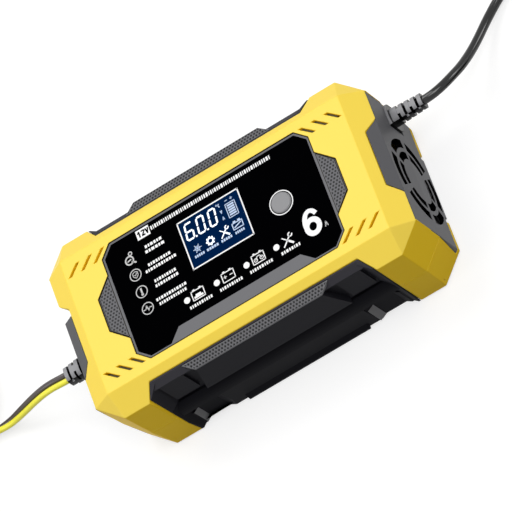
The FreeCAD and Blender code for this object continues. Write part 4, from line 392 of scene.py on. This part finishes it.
for wire, sign, lift, material, slot in (("positive", -1, 2.7, wire_yellow, "yellow_rubber"),
                                         ("negative", 1, 0.0, wire_grey, "grey_rubber")):
    wire_coil = coil_line(centre=(-154.0, 30.0), radius=24.0, pitch=3.0, turns_in=2.0, turns_out=1.92,
                          start=-90.0, low=2.0 + lift, high=7.7 + lift)
    first = wire_coil[0] + lead_in
    last_turn = wire_coil[-1] - wire_coil[-2]
    after = wire_coil[-1] + last_turn / np.linalg.norm(last_turn) * run_out
    beside = lead_middle + sign * half_spacing * lead_across
    wire_line = np.r_[beside, [first], wire_coil, [after], lead_ends[wire]] * MM
    cord = cord_curve(wire + "_lead", wire_line, 2.5 * MM, material)
    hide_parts(f"{wire}_wire", f"{wire}_wire_coil", f"{wire}_wire_end")
    print(wire, "wire:", round(line_length(wire_line), 3), "m")

# %% [markdown]
# The printing on the panel is made of thin flat shapes just above the black sheet. An image laid on the
# panel could do it too, but real shapes stay sharp from close by. Every mark is a list of outlines, and one
# function turns them into closed plates a few hundredths of a millimetre thick. The small print is rows of
# plain blocks, while numbers, units and small pictures are drawn.

# %% Printing helper
overlay_top = 47.5
print_rise = 0.04


def prisms(name, ring_pairs):
    """A mesh of closed prisms: each pair is the ring of points at one end and the ring at the other.

    The points are in millimetres. Each side face joins two points of a ring to the two across from them.
    """
    verts, faces, start = [], [], 0
    for first_ring, last_ring in ring_pairs:
        count = len(first_ring)
        verts += [first_ring, last_ring]
        ring = start + np.arange(count)
        step = start + (np.arange(count) + 1) % count
        faces += [ring[::-1].tolist(), (ring + count).tolist()]
        faces += np.c_[ring, step, step + count, ring + count].tolist()
        start += 2 * count
    mesh = bpy.data.meshes.new(name)
    mesh.from_pydata((np.concatenate(verts) * MM).tolist(), [], faces)
    return mesh


def plates(name, outlines, low, high, material):
    """Closed flat plates: each outline, counter-clockwise in millimetres, carried from low to high."""
    pairs = []
    for outline in outlines:
        flat = np.asarray(outline, float)
        x, y = flat[:, 0], flat[:, 1]
        if np.sum(x * np.roll(y, -1) - y * np.roll(x, -1)) < 0:
            flat = flat[::-1]
        pairs.append((np.c_[flat, np.full(len(flat), low)], np.c_[flat, np.full(len(flat), high)]))
    piece = add_object(name, prisms(name, pairs))
    coat(piece, material)
    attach(piece, "case")
    return piece


def rect(x0, x1, y0, y1):
    """The outline of a rectangle between two limits each way."""
    return [(x0, y0), (x1, y0), (x1, y1), (x0, y1)]


def line(points, width, closed=False):
    """The strips that a pen of that width leaves along straight legs, one outline for each leg."""
    p = np.asarray(points, float)
    q = np.roll(p, -1, axis=0)
    if not closed:
        p, q = p[:-1], q[:-1]
    way = (q - p) / np.linalg.norm(q - p, axis=1)[:, None]
    side = np.c_[-way[:, 1], way[:, 0]] * width / 2
    ahead = way * width * 0.3
    return list(np.stack([p - ahead - side, q + ahead - side, q + ahead + side, p - ahead + side], axis=1))


def arc(x, y, radius, width, first=0.0, last=360.0, count=28):
    """A ring or part of one: quadrilaterals between two radii."""
    a = np.radians(np.linspace(first, last, count + 1))
    unit = np.c_[np.cos(a), np.sin(a)]
    inner, outer = unit * (radius - width / 2) + (x, y), unit * (radius + width / 2) + (x, y)
    return list(np.stack([inner[:-1], outer[:-1], outer[1:], inner[1:]], axis=1))


def disc(x, y, radius, count=28):
    """A round spot."""
    a = np.linspace(0, 2 * np.pi, count, endpoint=False)
    return [np.c_[x + radius * np.cos(a), y + radius * np.sin(a)]]


def blocks(x0, x1, y, height, widths, gap=0.32):
    """A row of plain blocks, as a line of small print. Widths are shares of the row."""
    shares = np.asarray(widths, float)
    room = x1 - x0 - gap * (len(shares) - 1)
    ends = x0 + np.cumsum(shares / shares.sum() * room) + gap * np.arange(len(shares))
    starts = ends - shares / shares.sum() * room
    return [rect(a, b, y - height / 2, y + height / 2) for a, b in zip(starts, ends)]


# %% [markdown]
# Numbers and units could come from a font. Here they are drawn with a pen, so that the width of each stroke
# can be set: a ribbon of quadrilaterals follows a line, each joined to the next without a gap.

# %% Pen strokes and numbers
def ribbon(points, widths):
    """A pen stroke: each point is moved half a width to both sides, square to the mean direction there."""
    p = np.asarray(points, float)
    way = np.gradient(p, axis=0)
    way /= np.linalg.norm(way, axis=1)[:, None]
    side = np.c_[-way[:, 1], way[:, 0]] * (np.broadcast_to(widths, len(p)) / 2)[:, None]
    left, right = p + side, p - side
    return list(np.stack([right[:-1], right[1:], left[1:], left[:-1]], axis=1))


def curve_points(x, y, rx, ry, first, last, count=22):
    """Points on an ellipse between two angles in degrees."""
    a = np.radians(np.linspace(first, last, count))
    return np.c_[x + rx * np.cos(a), y + ry * np.sin(a)]


def numeral(character, x, y, tall, pen):
    """The strokes of a number or unit, its lower left corner at x, y."""
    w, h, p = 0.58 * tall, tall, pen / 2
    if character == "1":
        return line([(x + w * 0.1, y + h * 0.7), (x + w * 0.5, y + h - p)], pen) + line(
            [(x + w * 0.5, y + pen * 0.3), (x + w * 0.5, y + h - pen * 0.3)], pen)
    if character == "2":
        top_arc = curve_points(x + w / 2, y + h - w * 0.42, w * 0.42, w * 0.42 - p, 165, -35)
        bottom = line([(x + pen * 0.3, y + p), (x + w - pen * 0.3, y + p)], pen)
        return ribbon(np.r_[top_arc, [(x + w * 0.12, y + p)]], pen) + bottom
    peak, edge, foot, head = x + w * 0.55, x + w * 1.1 - p, y + p, y + h - p
    if character == "V":
        return line([(x + p, head), (peak, foot)], pen) + line([(peak, foot), (edge, head)], pen)
    if character == "A":
        bar = line([(x + w * 0.3, y + h * 0.34), (x + w * 0.8, y + h * 0.34)], pen * 0.9)
        return line([(x + p, foot), (peak, head)], pen) + line([(peak, head), (edge, foot)], pen) + bar
    return ribbon(curve_points(x + w * 0.5, y + h / 2, w * 0.5 - p, h / 2 - p, 50, 310), pen)


six_bowl = ribbon(curve_points(37.45, -13.35, 2.72, 2.95, 0, 360, 48), 2.25)
stem_lift = 0.01
stem_widths = np.r_[np.linspace(1.9, 1.75, 10), np.linspace(1.8, 2.3, 20)]
six_stem = ribbon(curve_points(37.75, -11.6, 3.02, 5.1, 33, 192, 30), stem_widths)
unit = numeral("A", 42.0, -16.4, 2.5, 0.36)
tag = [mark for k, c in enumerate("12V") for mark in numeral(c, -31.3 + 1.75 * k, 22.1, 2.7, 0.62)]
for name, marks, material, low in (("rating_bowl", six_bowl, print_white, overlay_top),
                                   ("rating_stem", six_stem, print_white, overlay_top + stem_lift),
                                   ("rating_unit", unit, print_grey, overlay_top),
                                   ("voltage_number", tag, panel_black, overlay_top + print_rise)):
    plates(name, marks, low, low + print_rise, material)

# %% [markdown]
# The marks beside the display are a title row, four small pictures down the left, three battery signs and
# crossed tools under the display, and rows of blocks with them. They are strokes, rings and rectangles, as
# so few shapes are quicker to place one by one than to import.

# %% Marks on the panel
def battery_sign(x, y):
    """A battery seen from the front: a frame with two posts."""
    box = line(rect(x - 2.75, x + 2.75, y - 2.0, y + 1.9), 0.42, closed=True)
    return box + [rect(x - 1.9, x - 0.9, y + 2.0, y + 2.6), rect(x + 0.9, x + 1.9, y + 2.0, y + 2.6)]


def crossed_tools(x, y, s):
    """A screwdriver across a spanner."""
    marks = line([(x - 1.9 * s, y - 1.9 * s), (x + 1.2 * s, y + 1.2 * s)], 0.55 * s)
    marks += arc(x + 1.65 * s, y + 1.65 * s, 0.75 * s, 0.5 * s, first=80, last=370, count=12)
    marks += line([(x + 1.9 * s, y - 1.9 * s), (x + 0.6 * s, y - 0.6 * s)], 0.8 * s)
    return marks + line([(x + 0.4 * s, y - 0.4 * s), (x - 1.7 * s, y + 1.7 * s)], 0.4 * s)


white_marks = [rect(-31.9, -25.9, 21.3, 25.5)]
title_shares = np.tile([1.0, 0.6, 1.2, 0.8, 1.0, 1.4, 0.7], 8)
caption_shares = [1, 0.7, 1.2, 0.8, 1, 1.3, 0.7, 1, 0.8, 1.1]
caption_y, caption_height, caption_gap = -16.9, 1.3, 0.42
white_marks += blocks(-25.2, 31.0, 23.4, 1.7, title_shares, caption_gap)
for k, x in enumerate((-16.2, -2.1, 12.0)):
    white_marks += battery_sign(x, -12.9)
    white_marks += blocks(x - 5.2, x + 5.2, caption_y, caption_height, caption_shares, caption_gap)
white_marks += line([(-18.0, -13.9), (-14.4, -13.9)], 0.9) + line([(-17.2, -13.1), (-15.2, -13.1)], 0.8)
white_marks += line([(-4.1, -12.9), (-2.9, -12.9)], 0.35) + line([(-3.5, -13.5), (-3.5, -12.3)], 0.35)
white_marks += line([(-1.3, -12.9), (-0.1, -12.9)], 0.35)
white_marks += arc(10.7, -13.4, 0.75, 0.3, count=14) + arc(13.4, -13.4, 0.75, 0.3, count=14)
white_marks += line([(10.7, -13.4), (11.7, -12.1), (12.9, -12.1), (13.4, -13.4)], 0.35)
white_marks += crossed_tools(25.6, -12.9, 1.1)
white_marks += blocks(21.4, 30.0, caption_y, caption_height, [1, 0.7, 1.2, 0.8, 1, 0.5, 1, 0.8], caption_gap)
list_x, list_rows = -26.3, (0.9, -1.3)
for y, half_widths in ((16.4, (3.9, 4.4)), (8.6, (5.2, 7.1)), (0.9, (5.0, 5.3)), (-6.9, (7.0, 6.3))):
    for row, half in zip(list_rows, half_widths):
        row_shares = [1, 0.7, 1.2] * int(half * 0.65)
        white_marks += blocks(list_x - half, list_x + half, y + row, 1.25, row_shares, 0.4)
grey_marks = []
for y in (8.6, 0.7, -7.1):
    grey_marks += arc(-37.8, y, 2.45, 0.4)
grey_marks += arc(-38.1, 15.6, 1.75, 0.6) + line([(-37.2, 14.6), (-35.7, 13.6)], 0.7)
grey_marks += arc(-36.9, 18.2, 0.75, 0.45, count=14)
grey_marks += line([(-39.0, 15.4), (-37.4, 15.8)], 0.5)
shield = [(-38.9, 9.6), (-37.8, 10.1), (-36.7, 9.6), (-36.7, 8.2), (-37.8, 7.2), (-38.9, 8.2)]
grey_marks += line(shield, 0.35, closed=True)
grey_marks += line([(-38.3, 8.7), (-37.9, 8.3), (-37.2, 9.2)], 0.35)
grey_marks += line([(-37.8, 2.1), (-37.8, 0.0)], 0.75) + disc(-37.8, -0.5, 0.6, count=12)
pulse = [(-39.7, -7.2), (-38.6, -7.2), (-38.0, -5.7), (-37.6, -8.3), (-37.1, -7.0), (-35.9, -7.2)]
grey_marks += line(pulse, 0.4)
for name, marks, material in (("white_printing", white_marks, print_white),
                              ("pale_printing", grey_marks, print_grey)):
    piece = plates(name, marks, overlay_top, overlay_top + print_rise, material)
    print(name, "outlines:", len(marks))

# %% [markdown]
# The display glows: a deep blue field with pale segments, inside a thin white frame. Each digit is seven
# bars of the usual segment kind, leaning a little. A glowing picture could stand for all of it, but with
# separate bars another reading is only another list of letters.

# %% Display
def glow(name, colour, strength, roughness=0.3):
    """A surface that gives its own light as well as catching the room's."""
    material = finish(name, colour, roughness, Specular_IOR_Level=0.0)
    shader = material.node_tree.nodes["Principled BSDF"]
    shader.inputs["Emission Color"].default_value = linear(*colour)
    shader.inputs["Emission Strength"].default_value = strength
    return material


field_blue = glow("display field", (1, 28, 66), 0.08, 0.4)
segment_white = glow("display segments", (244, 249, 255), 0.4)
segment_blue = glow("display pictures", (176, 192, 216), 0.25)
window_top = 47.36
field_top, segment_top = window_top + 0.02, window_top + 0.05


def digit(x, y, wide, tall, lit, pen=0.78, lean=0.1):
    """Seven segments of a digit from its lower left corner; lit is the set that shows, a to g."""
    middle, split, half = y + tall / 2, pen * 0.12, pen / 2
    ends = {
        "a": [(x, y + tall), (x + wide, y + tall)], "g": [(x, middle), (x + wide, middle)],
        "d": [(x, y), (x + wide, y)],
        "f": [(x, middle + split), (x, y + tall - split)], "e": [(x, y + split), (x, middle - split)],
        "b": [(x + wide, middle + split), (x + wide, y + tall - split)],
        "c": [(x + wide, y + split), (x + wide, middle - split)],
    }
    shown = []
    for segment in lit:
        (x0, y0), (x1, y1) = ends[segment]
        if y0 == y1:
            bar = [(x0 + split, y0), (x0 + split + half, y0 - half), (x1 - split - half, y0 - half),
                   (x1 - split, y0), (x1 - split - half, y0 + half), (x0 + split + half, y0 + half)]
        else:
            bar = [(x0, y0), (x0 + half, y0 + half), (x0 + half, y1 - half), (x0, y1),
                   (x0 - half, y1 - half), (x0 - half, y0 + half)]
        bar = np.array(bar)
        shown.append(np.c_[bar[:, 0] + (bar[:, 1] - y) * lean, bar[:, 1]])
    return shown


field = plates("display_field", [rect(-14.0, 13.9, -2.8, 18.6)], window_top, field_top, field_blue)
border = line(rect(-14.45, 13.85, -2.75, 18.75), 0.55, closed=True)
border = plates("display_border", border, overlay_top, overlay_top + print_rise, print_white)
bright = digit(-12.6, 9.7, 3.2, 7.0, "afgcde")
for x in (-7.1, -1.6):
    bright += digit(x, 9.7, 3.0, 7.0, "abcdef")
bright += [rect(-8.85, -8.1, 9.3, 10.05), rect(-3.5, -2.75, 9.3, 10.05)]
gear_at = (-3.9, 4.7)
gear_tooth = np.array([(1.4, -0.35), (2.0, -0.3), (2.0, 0.3), (1.4, 0.35)])
bright += arc(*gear_at, 1.25, 0.75)
for a in np.arange(8) * np.pi / 4:
    bright.append(gear_tooth @ np.array([[np.cos(a), np.sin(a)], [-np.sin(a), np.cos(a)]]) + gear_at)
bright += crossed_tools(2.7, 4.7, 0.95)
pictures = []
star_at = np.array((-10.0, 4.7))
for a in np.arange(3) * np.pi / 3:
    reach = np.array([np.cos(a), np.sin(a)]) * 1.8
    pictures += line([star_at - reach, star_at + reach], 0.32)
pictures += arc(*star_at, 1.15, 0.28, count=6)
pictures += line(rect(6.7, 11.2, 3.3, 6.0), 0.45, closed=True) + line([(7.4, 4.1), (10.5, 5.3)], 0.5)
pictures += [rect(7.3, 8.5, 6.2, 6.9), rect(9.4, 10.6, 6.2, 6.9)]
pictures += line(rect(6.8, 11.1, 9.0, 15.2), 0.35, closed=True)
pictures += [rect(7.4, 10.5, 9.7 + 1.05 * k, 10.45 + 1.05 * k) for k in range(5)]
for sign_leg in ([(7.3, 16.7), (8.3, 16.7)], [(9.6, 16.7), (10.6, 16.7)], [(10.1, 16.2), (10.1, 17.2)]):
    pictures += line(sign_leg, 0.3)
for x, wide in ((-10.0, 4.4), (-3.9, 5.4), (2.7, 5.0), (8.9, 4.2)):
    pictures += blocks(x - wide / 2, x + wide / 2, 1.7, 1.1, [1] * 5, gap=0.25)
for text, y in (("C", 15.5), ("V", 12.4), ("A", 9.6)):
    pictures += numeral(text, 3.9, y, 1.6, 0.38)
pictures += arc(3.35, 16.9, 0.3, 0.2, count=10)
for name, marks, material in (("display_digits", bright, segment_white),
                              ("display_pictures", pictures, segment_blue)):
    piece = plates(name, marks, field_top, segment_top, material)
print("display outlines:", len(bright) + len(pictures))

# %% [markdown]
# The button wears a thin white ring, printed on the panel round its hole. A torus would stand up too high
# for print, so the ring is flat.

# %% Button ring
button_x, button_y, ring_radius, ring_width = 28.8, 3.0, 4.98, 0.42
ring = arc(button_x, button_y, ring_radius, ring_width, count=64)
ring = plates("button_ring", ring, overlay_top, overlay_top + print_rise, print_white)

# %% [markdown]
# The wings of the bezel and the strips along the sides carry rows of small pits for grip. Bump could draw
# them, but only real hollows look right at a low angle. So a grid of points is pressed down wherever it is
# close to the nearest pit's middle.

# %% Grip pits
# The pits' dark colour is painted shade.
pit_plain, pit_painted_shade, plain_rim = (100, 100, 103), (12, 12, 14), 0.45
pit_grey = finish("pitted grip", pit_plain, 0.5, Specular_IOR_Level=0.2)
shader_nodes, shader_links = pit_grey.node_tree.nodes, pit_grey.node_tree.links
hollow_share = shader_nodes.new("ShaderNodeAttribute")
hollow_share.attribute_name = "hollow"
shade = shader_nodes.new("ShaderNodeMix")
shade.data_type = "RGBA"
factor_in, plain_in, deep_in, colour_out = 0, 6, 7, 2
shade.inputs[plain_in].default_value = linear(*pit_plain)
shade.inputs[deep_in].default_value = linear(*pit_painted_shade)
shader_links.new(hollow_share.outputs["Fac"], shade.inputs[factor_in])
shader_links.new(shade.outputs[colour_out], shader_nodes["Principled BSDF"].inputs["Base Color"])


def pitted_surface(name, corners, columns, rows, pitch, pit, depth, floor_z):
    """A four-sided plate whose top is pressed in at a lattice of round pits.

    A point at shares u, v of the plate lies on the straight-line blend of its four corners. It is lowered
    by depth times (1 - (r / pit)^4) where its distance r to the nearest pit is less than pit, and the lattice
    has every other row moved by half a pitch. A narrow rim stays plain, and goes straight down to floor_z.
    The share of the depth is kept as a value on each point, and darkens the finish, as little light reaches
    into a pit.
    """
    corners = np.asarray(corners, float)
    u, v = np.meshgrid(np.linspace(0, 1, columns), np.linspace(0, 1, rows), indexing="ij")
    u, v = u[..., None], v[..., None]
    top = (corners[0] * (1 - u) + corners[1] * u) * (1 - v) + (corners[3] * (1 - u) + corners[2] * u) * v
    rise = pitch * np.sqrt(3) / 2
    row = np.round(top[..., 1] / rise)
    shift = np.where(row.astype(int) % 2 == 0, 0.0, pitch / 2)
    near_x = np.round((top[..., 0] - shift) / pitch) * pitch + shift
    r = np.hypot(top[..., 0] - near_x, top[..., 1] - row * rise)
    span = np.minimum.reduce([u[..., 0], 1 - u[..., 0]]) * np.linalg.norm(corners[1] - corners[0])
    span = np.minimum(span, np.minimum(v[..., 0], 1 - v[..., 0]) * np.linalg.norm(corners[3] - corners[0]))
    whole = span > plain_rim
    sink = np.where((r < pit) & whole, depth * (1 - (r / pit) ** 4), 0.0)
    top[..., 2] -= sink
    count = columns * rows
    index = np.arange(count).reshape(columns, rows)
    quads = np.stack([index[:-1, :-1], index[1:, :-1], index[1:, 1:], index[:-1, 1:]], -1).reshape(-1, 4)
    rim = np.r_[index[:, 0], index[-1, 1:], index[-2::-1, -1], index[0, -2:0:-1]]
    base = top.reshape(-1, 3)[rim].copy()
    base[:, 2] = floor_z
    low = count + np.arange(len(rim))
    walls = np.c_[rim, low, np.roll(low, -1), np.roll(rim, -1)]
    verts = np.r_[top.reshape(-1, 3), base] * MM
    faces = quads.tolist() + walls.tolist() + [low[::-1].tolist()]
    mesh = bpy.data.meshes.new(name)
    mesh.from_pydata(verts.tolist(), [], faces)
    shape = bmesh.new()
    shape.from_mesh(mesh)
    bmesh.ops.recalc_face_normals(shape, faces=shape.faces)
    shape.to_mesh(mesh)
    shape.free()
    share = mesh.attributes.new("hollow", "FLOAT", "POINT")
    share.data.foreach_set("value", np.r_[sink.ravel() / depth, np.zeros(len(rim))])
    piece = add_object(name, mesh)
    coat(piece, pit_grey)
    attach(piece, "case")
    return piece


def joint_line(name, corners, width, low, high):
    """The thin dark line of a joint, all round an outline."""
    rim = plates(name, line(corners, width, closed=True), low, high, line_dark)


pad_top = 47.75
for side in (1, -1):
    name = "fan_side_wing" if side > 0 else "output_side_wing"
    outline = [(side * 49.0, -13.6, pad_top), (side * 55.1, -7.4, pad_top), (side * 55.1, 7.4, pad_top),
               (side * 49.0, 13.6, pad_top)]
    pitted_surface(name, outline, columns=60, rows=250, pitch=1.5, pit=0.54, depth=0.12, floor_z=47.3)
    joint_line(name + "_line", [corner[:2] for corner in outline], width=0.5, low=47.5, high=47.72)
quarter = np.array([(55.82, 7.45), (48.62, 14.65), (48.62, 22.1), (43.6, 27.12)])
around = np.r_[quarter, quarter[::-1] * (-1, 1), -quarter, quarter[::-1] * (1, -1)]
joint_line("bezel_joint", around, width=0.3, low=47.5, high=47.93)
print("pads on the wings: 2")

# %% [markdown]
# The grip strips lean outwards from the case over the raised faces of the trims. They are made like the
# pads on the wings, only longer and with deeper pits.

# %% Grip strips
for sign, node in ((1, "rear_grip_strip"), (-1, "front_grip_strip")):
    inner, outer = np.array([34.1, sign * 35.55, 45.1]), np.array([29.5, sign * 39.45, 44.4])
    strip = [inner * (-1, 1, 1), inner, outer, outer * (-1, 1, 1)]
    pits = pitted_surface(node.replace("strip", "pits"), strip, columns=520, rows=36, pitch=1.45, pit=0.52,
                          depth=0.3, floor_z=43.6)
    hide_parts(node)
print("pads on the strips: 2")

# %% [markdown]
# Each strain relief is a stack of ribs on a thin core. Plain rings would be simpler, but bridges join one
# rib to the next, by turns on the upper and lower sides and on the two flanks, so that the rubber can bend
# every way, and they give the tail its open pattern.

# %% Strain reliefs
sharp_from, lit_from = 0.7, 0.5


def rounded_section(half_width, half_height, power=3.2, count=28):
    """A rounded square: |y / w|^n + |z / h|^n = 1, as points by angle."""
    a = np.linspace(0, 2 * np.pi, count, endpoint=False)
    c, s = np.cos(a), np.sin(a)
    y, z = (np.sign(part) * np.abs(part) ** (2 / power) for part in (c, s))
    return np.c_[half_width * y, half_height * z]


def section_stack(name, stations, material):
    """Closed prisms along X: each station is (low x, high x, outline in Y and Z), in millimetres.

    The first station is the core, which lies in the dark between the ribs and is painted black as shade.
    Upward faces are painted lighter than the rest, as painted light.
    """
    mesh = prisms(name, [[np.c_[np.full(len(outline), x), outline] for x in (low, high)]
                         for low, high, outline in stations])
    mesh.shade_smooth()
    mesh.set_sharp_from_angle(angle=sharp_from)
    piece = add_object(name, mesh)
    coat(piece, material)
    second_finish(piece, boot_painted_light, face_table(mesh)[1][:, 2] > lit_from)
    core_faces = len(stations[0][2]) + 2
    second_finish(piece, painted_shade_black, np.arange(len(mesh.polygons)) < core_faces)
    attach(piece, "case")
    return piece


def strain_relief(node, sign, y, z, root, tip):
    """The flange, the ribbed tail and the thin core of one cord entry.

    The half width of the ribs falls evenly from root to tip. The half width of a bridge, its half thickness
    and its distance from the axis are 0.34, 0.17 and 0.78 of that.
    """
    start, length, ribs, gap = 75.6, 13.6, 5, 1.1
    pitch = length / ribs
    corner = np.array([(5.4, 2.6), (4.44, 4.84), (2.2, 5.8)])
    octagon = np.r_[corner, corner[::-1] * (-1, 1), -corner, corner[::-1] * (1, -1)]
    core = rounded_section(tip * 0.8, tip * 0.8, 2.0)
    stations = [(start - 5, start + length - 0.3, core), (start - 2, start, octagon)]
    for k in range(ribs):
        size = root - (root - tip) * k / (ribs - 1)
        a, b = start + pitch * k + (gap if k else 0), start + pitch * (k + 1)
        stations.append((a, b, rounded_section(size, size)))
        if k == ribs - 1:
            continue
        half, thin, off = size * 0.34, size * 0.17, size * 0.78
        for side in (1, -1):
            wide, tall, at = (half, thin, (0, side * off)) if k % 2 == 0 else (thin, half, (side * off, 0))
            bridge = np.array([(wide, -tall), (wide, tall), (-wide, tall), (-wide, -tall)]) + at
            stations.append((b - 0.1, b + gap + 0.1, bridge))
    placed = [(*sorted((sign * a, sign * b)), outline + (y, z)) for a, b, outline in stations]
    boot = section_stack(node + "_ribs", placed, boot_black)
    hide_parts(node)


strain_relief("mains_strain_relief", 1, 25.3, 21.3, 3.5, 3.0)
strain_relief("output_strain_relief", -1, 0.0, 21.3, 4.8, 3.6)
print("strain reliefs: 2")

# %% [markdown]
# Just under the slots of two corners of the top lies a small baffle, and the slanting ends of the skirts
# that face the fan end carry a painted highlight in a lighter grey. A thin black sheet in the case, painted
# shade, keeps its yellow floor from showing through the lowest slots of the fan grille. All are thin
# plates, as so little of them shows.

# %% Baffles, a painted shade sheet and painted highlight facets
plates("grille_shade", [rect(71.92, 71.99, -17.0, 8.0)], 1.2, 5.4, painted_shade_black)
for side in (1, -1):
    xs, ys = sorted((side * 46.9, side * 62.4)), sorted((side * 22.2, side * 27.4))
    baffle = plates(f"vent_baffle_{side + 1}", [rect(*xs, *ys)], 46.0, 46.5, baffle_grey)


def facet(name, first, last, low, high, out, material):
    """A thin upright plate between two places in X and Y, from low to high, that stands out from a face."""
    first, last = np.array(first, float), np.array(last, float)
    way = (last - first) / np.linalg.norm(last - first)
    square = np.array([way[1], -way[0]]) * out
    corners = [first, last, last + square, first + square]
    return plates(name, [corners], low, high, material)


# The facets carry a painted highlight.
foot_z, step_z, pad_z, facet_out = 1.4, 12.6, 12.4, 0.06
for sy in (1, -1):
    off = facet_out * sy
    step = facet(f"step_facet_{sy + 1}", (36.6, sy * 36.6), (33.6, sy * 38.15), foot_z, step_z, off,
                 painted_highlight_grey)
    pad = facet(f"pad_facet_{sy + 1}", (-45.7, sy * 36.25), (-48.2, sy * 37.8), foot_z, pad_z, off,
                painted_highlight_grey)

# %% [markdown]
# The studio has four wide soft lamps: one above, one beyond the far side, whose light comes back from the
# top as a pale sheen, and a weak one off each end. A picture of a room could light it too, but lamps can be
# moved one by one. The room is dim for the object's own light, and white where it is seen or mirrored.

# %% Room and lamps
def seen_directly(nodes, links):
    """A share that is 1 for what the camera sees, straight, in a mirror or through glass, and otherwise 0."""
    path = nodes.new("ShaderNodeLightPath")
    first_sum, second_sum = nodes.new("ShaderNodeMath"), nodes.new("ShaderNodeMath")
    links.new(path.outputs["Is Camera Ray"], first_sum.inputs[0])
    links.new(path.outputs["Is Glossy Ray"], first_sum.inputs[1])
    links.new(first_sum.outputs[0], second_sum.inputs[0])
    links.new(path.outputs["Is Transmission Ray"], second_sum.inputs[1])
    second_sum.use_clamp = True
    return second_sum.outputs[0]


world = bpy.data.worlds.new("room")
bpy.context.scene.world = world
world.use_nodes = True
nodes, links = world.node_tree.nodes, world.node_tree.links
nodes.clear()
room_light, seen_white = nodes.new("ShaderNodeBackground"), nodes.new("ShaderNodeBackground")
for background, strength in ((room_light, 0.2), (seen_white, 1.0)):
    background.inputs["Color"].default_value = (1, 1, 1, 1)
    background.inputs["Strength"].default_value = strength
mix, output = nodes.new("ShaderNodeMixShader"), nodes.new("ShaderNodeOutputWorld")
links.new(seen_directly(nodes, links), mix.inputs["Fac"])
links.new(room_light.outputs[0], mix.inputs[1])
links.new(seen_white.outputs[0], mix.inputs[2])
links.new(mix.outputs[0], output.inputs["Surface"])


lamp_distance = 1.5


def softbox(name, towards, size, energy):
    """A square lamp that looks at the origin from a direction."""
    data = bpy.data.lights.new(name, "AREA")
    data.shape = "SQUARE"
    data.size = size
    data.energy = energy
    lamp = add_object(name, data)
    way = Vector(towards).normalized()
    lamp.location = way * lamp_distance
    lamp.rotation_mode = "QUATERNION"
    lamp.rotation_quaternion = way.to_track_quat("Z", "Y")


softbox("near lamp", (0.35, -0.15, 1.0), 0.8, 9.0)
softbox("far lamp", (-0.26, 0.46, 0.84), 1.0, 11.5)
softbox("side lamp", (1.0, 0.1, 0.3), 0.45, 3.2)
softbox("end lamp", (-1.0, -0.3, 0.6), 0.7, 4.5)

# %% [markdown]
# The floor is pale and keeps a faint shadow. It could be darker and lit more, but that light would fall on
# the object too. So where the floor is seen, part of its white is its own, and the shadow stays soft.

# %% Floor
floor_mesh = bpy.data.meshes.new("floor")
floor_reach = 4.0
floor_corners = [(x * floor_reach, y * floor_reach, 0) for x, y in ((-1, -1), (1, -1), (1, 1), (-1, 1))]
floor_mesh.from_pydata(floor_corners, [], [(0, 1, 2, 3)])
floor = add_object("floor", floor_mesh)
floor_white = bpy.data.materials.new("floor white")
floor_white.use_nodes = True
nodes, links = floor_white.node_tree.nodes, floor_white.node_tree.links
nodes.clear()
matt, matt_seen = nodes.new("ShaderNodeBsdfDiffuse"), nodes.new("ShaderNodeBsdfDiffuse")
matt.inputs["Color"].default_value = (0.35, 0.35, 0.35, 1)
matt_seen.inputs["Color"].default_value = (0.38, 0.38, 0.38, 1)
own = nodes.new("ShaderNodeEmission")
own.inputs["Color"].default_value = (1, 1, 1, 1)
own.inputs["Strength"].default_value = 0.7
seen, mix = nodes.new("ShaderNodeAddShader"), nodes.new("ShaderNodeMixShader")
output = nodes.new("ShaderNodeOutputMaterial")
links.new(matt_seen.outputs[0], seen.inputs[0])
links.new(own.outputs[0], seen.inputs[1])
links.new(seen_directly(nodes, links), mix.inputs["Fac"])
links.new(matt.outputs[0], mix.inputs[1])
links.new(seen.outputs[0], mix.inputs[2])
links.new(mix.outputs[0], output.inputs["Surface"])
floor.data.materials.append(floor_white)
bpy.context.scene.view_settings.view_transform = "Standard"
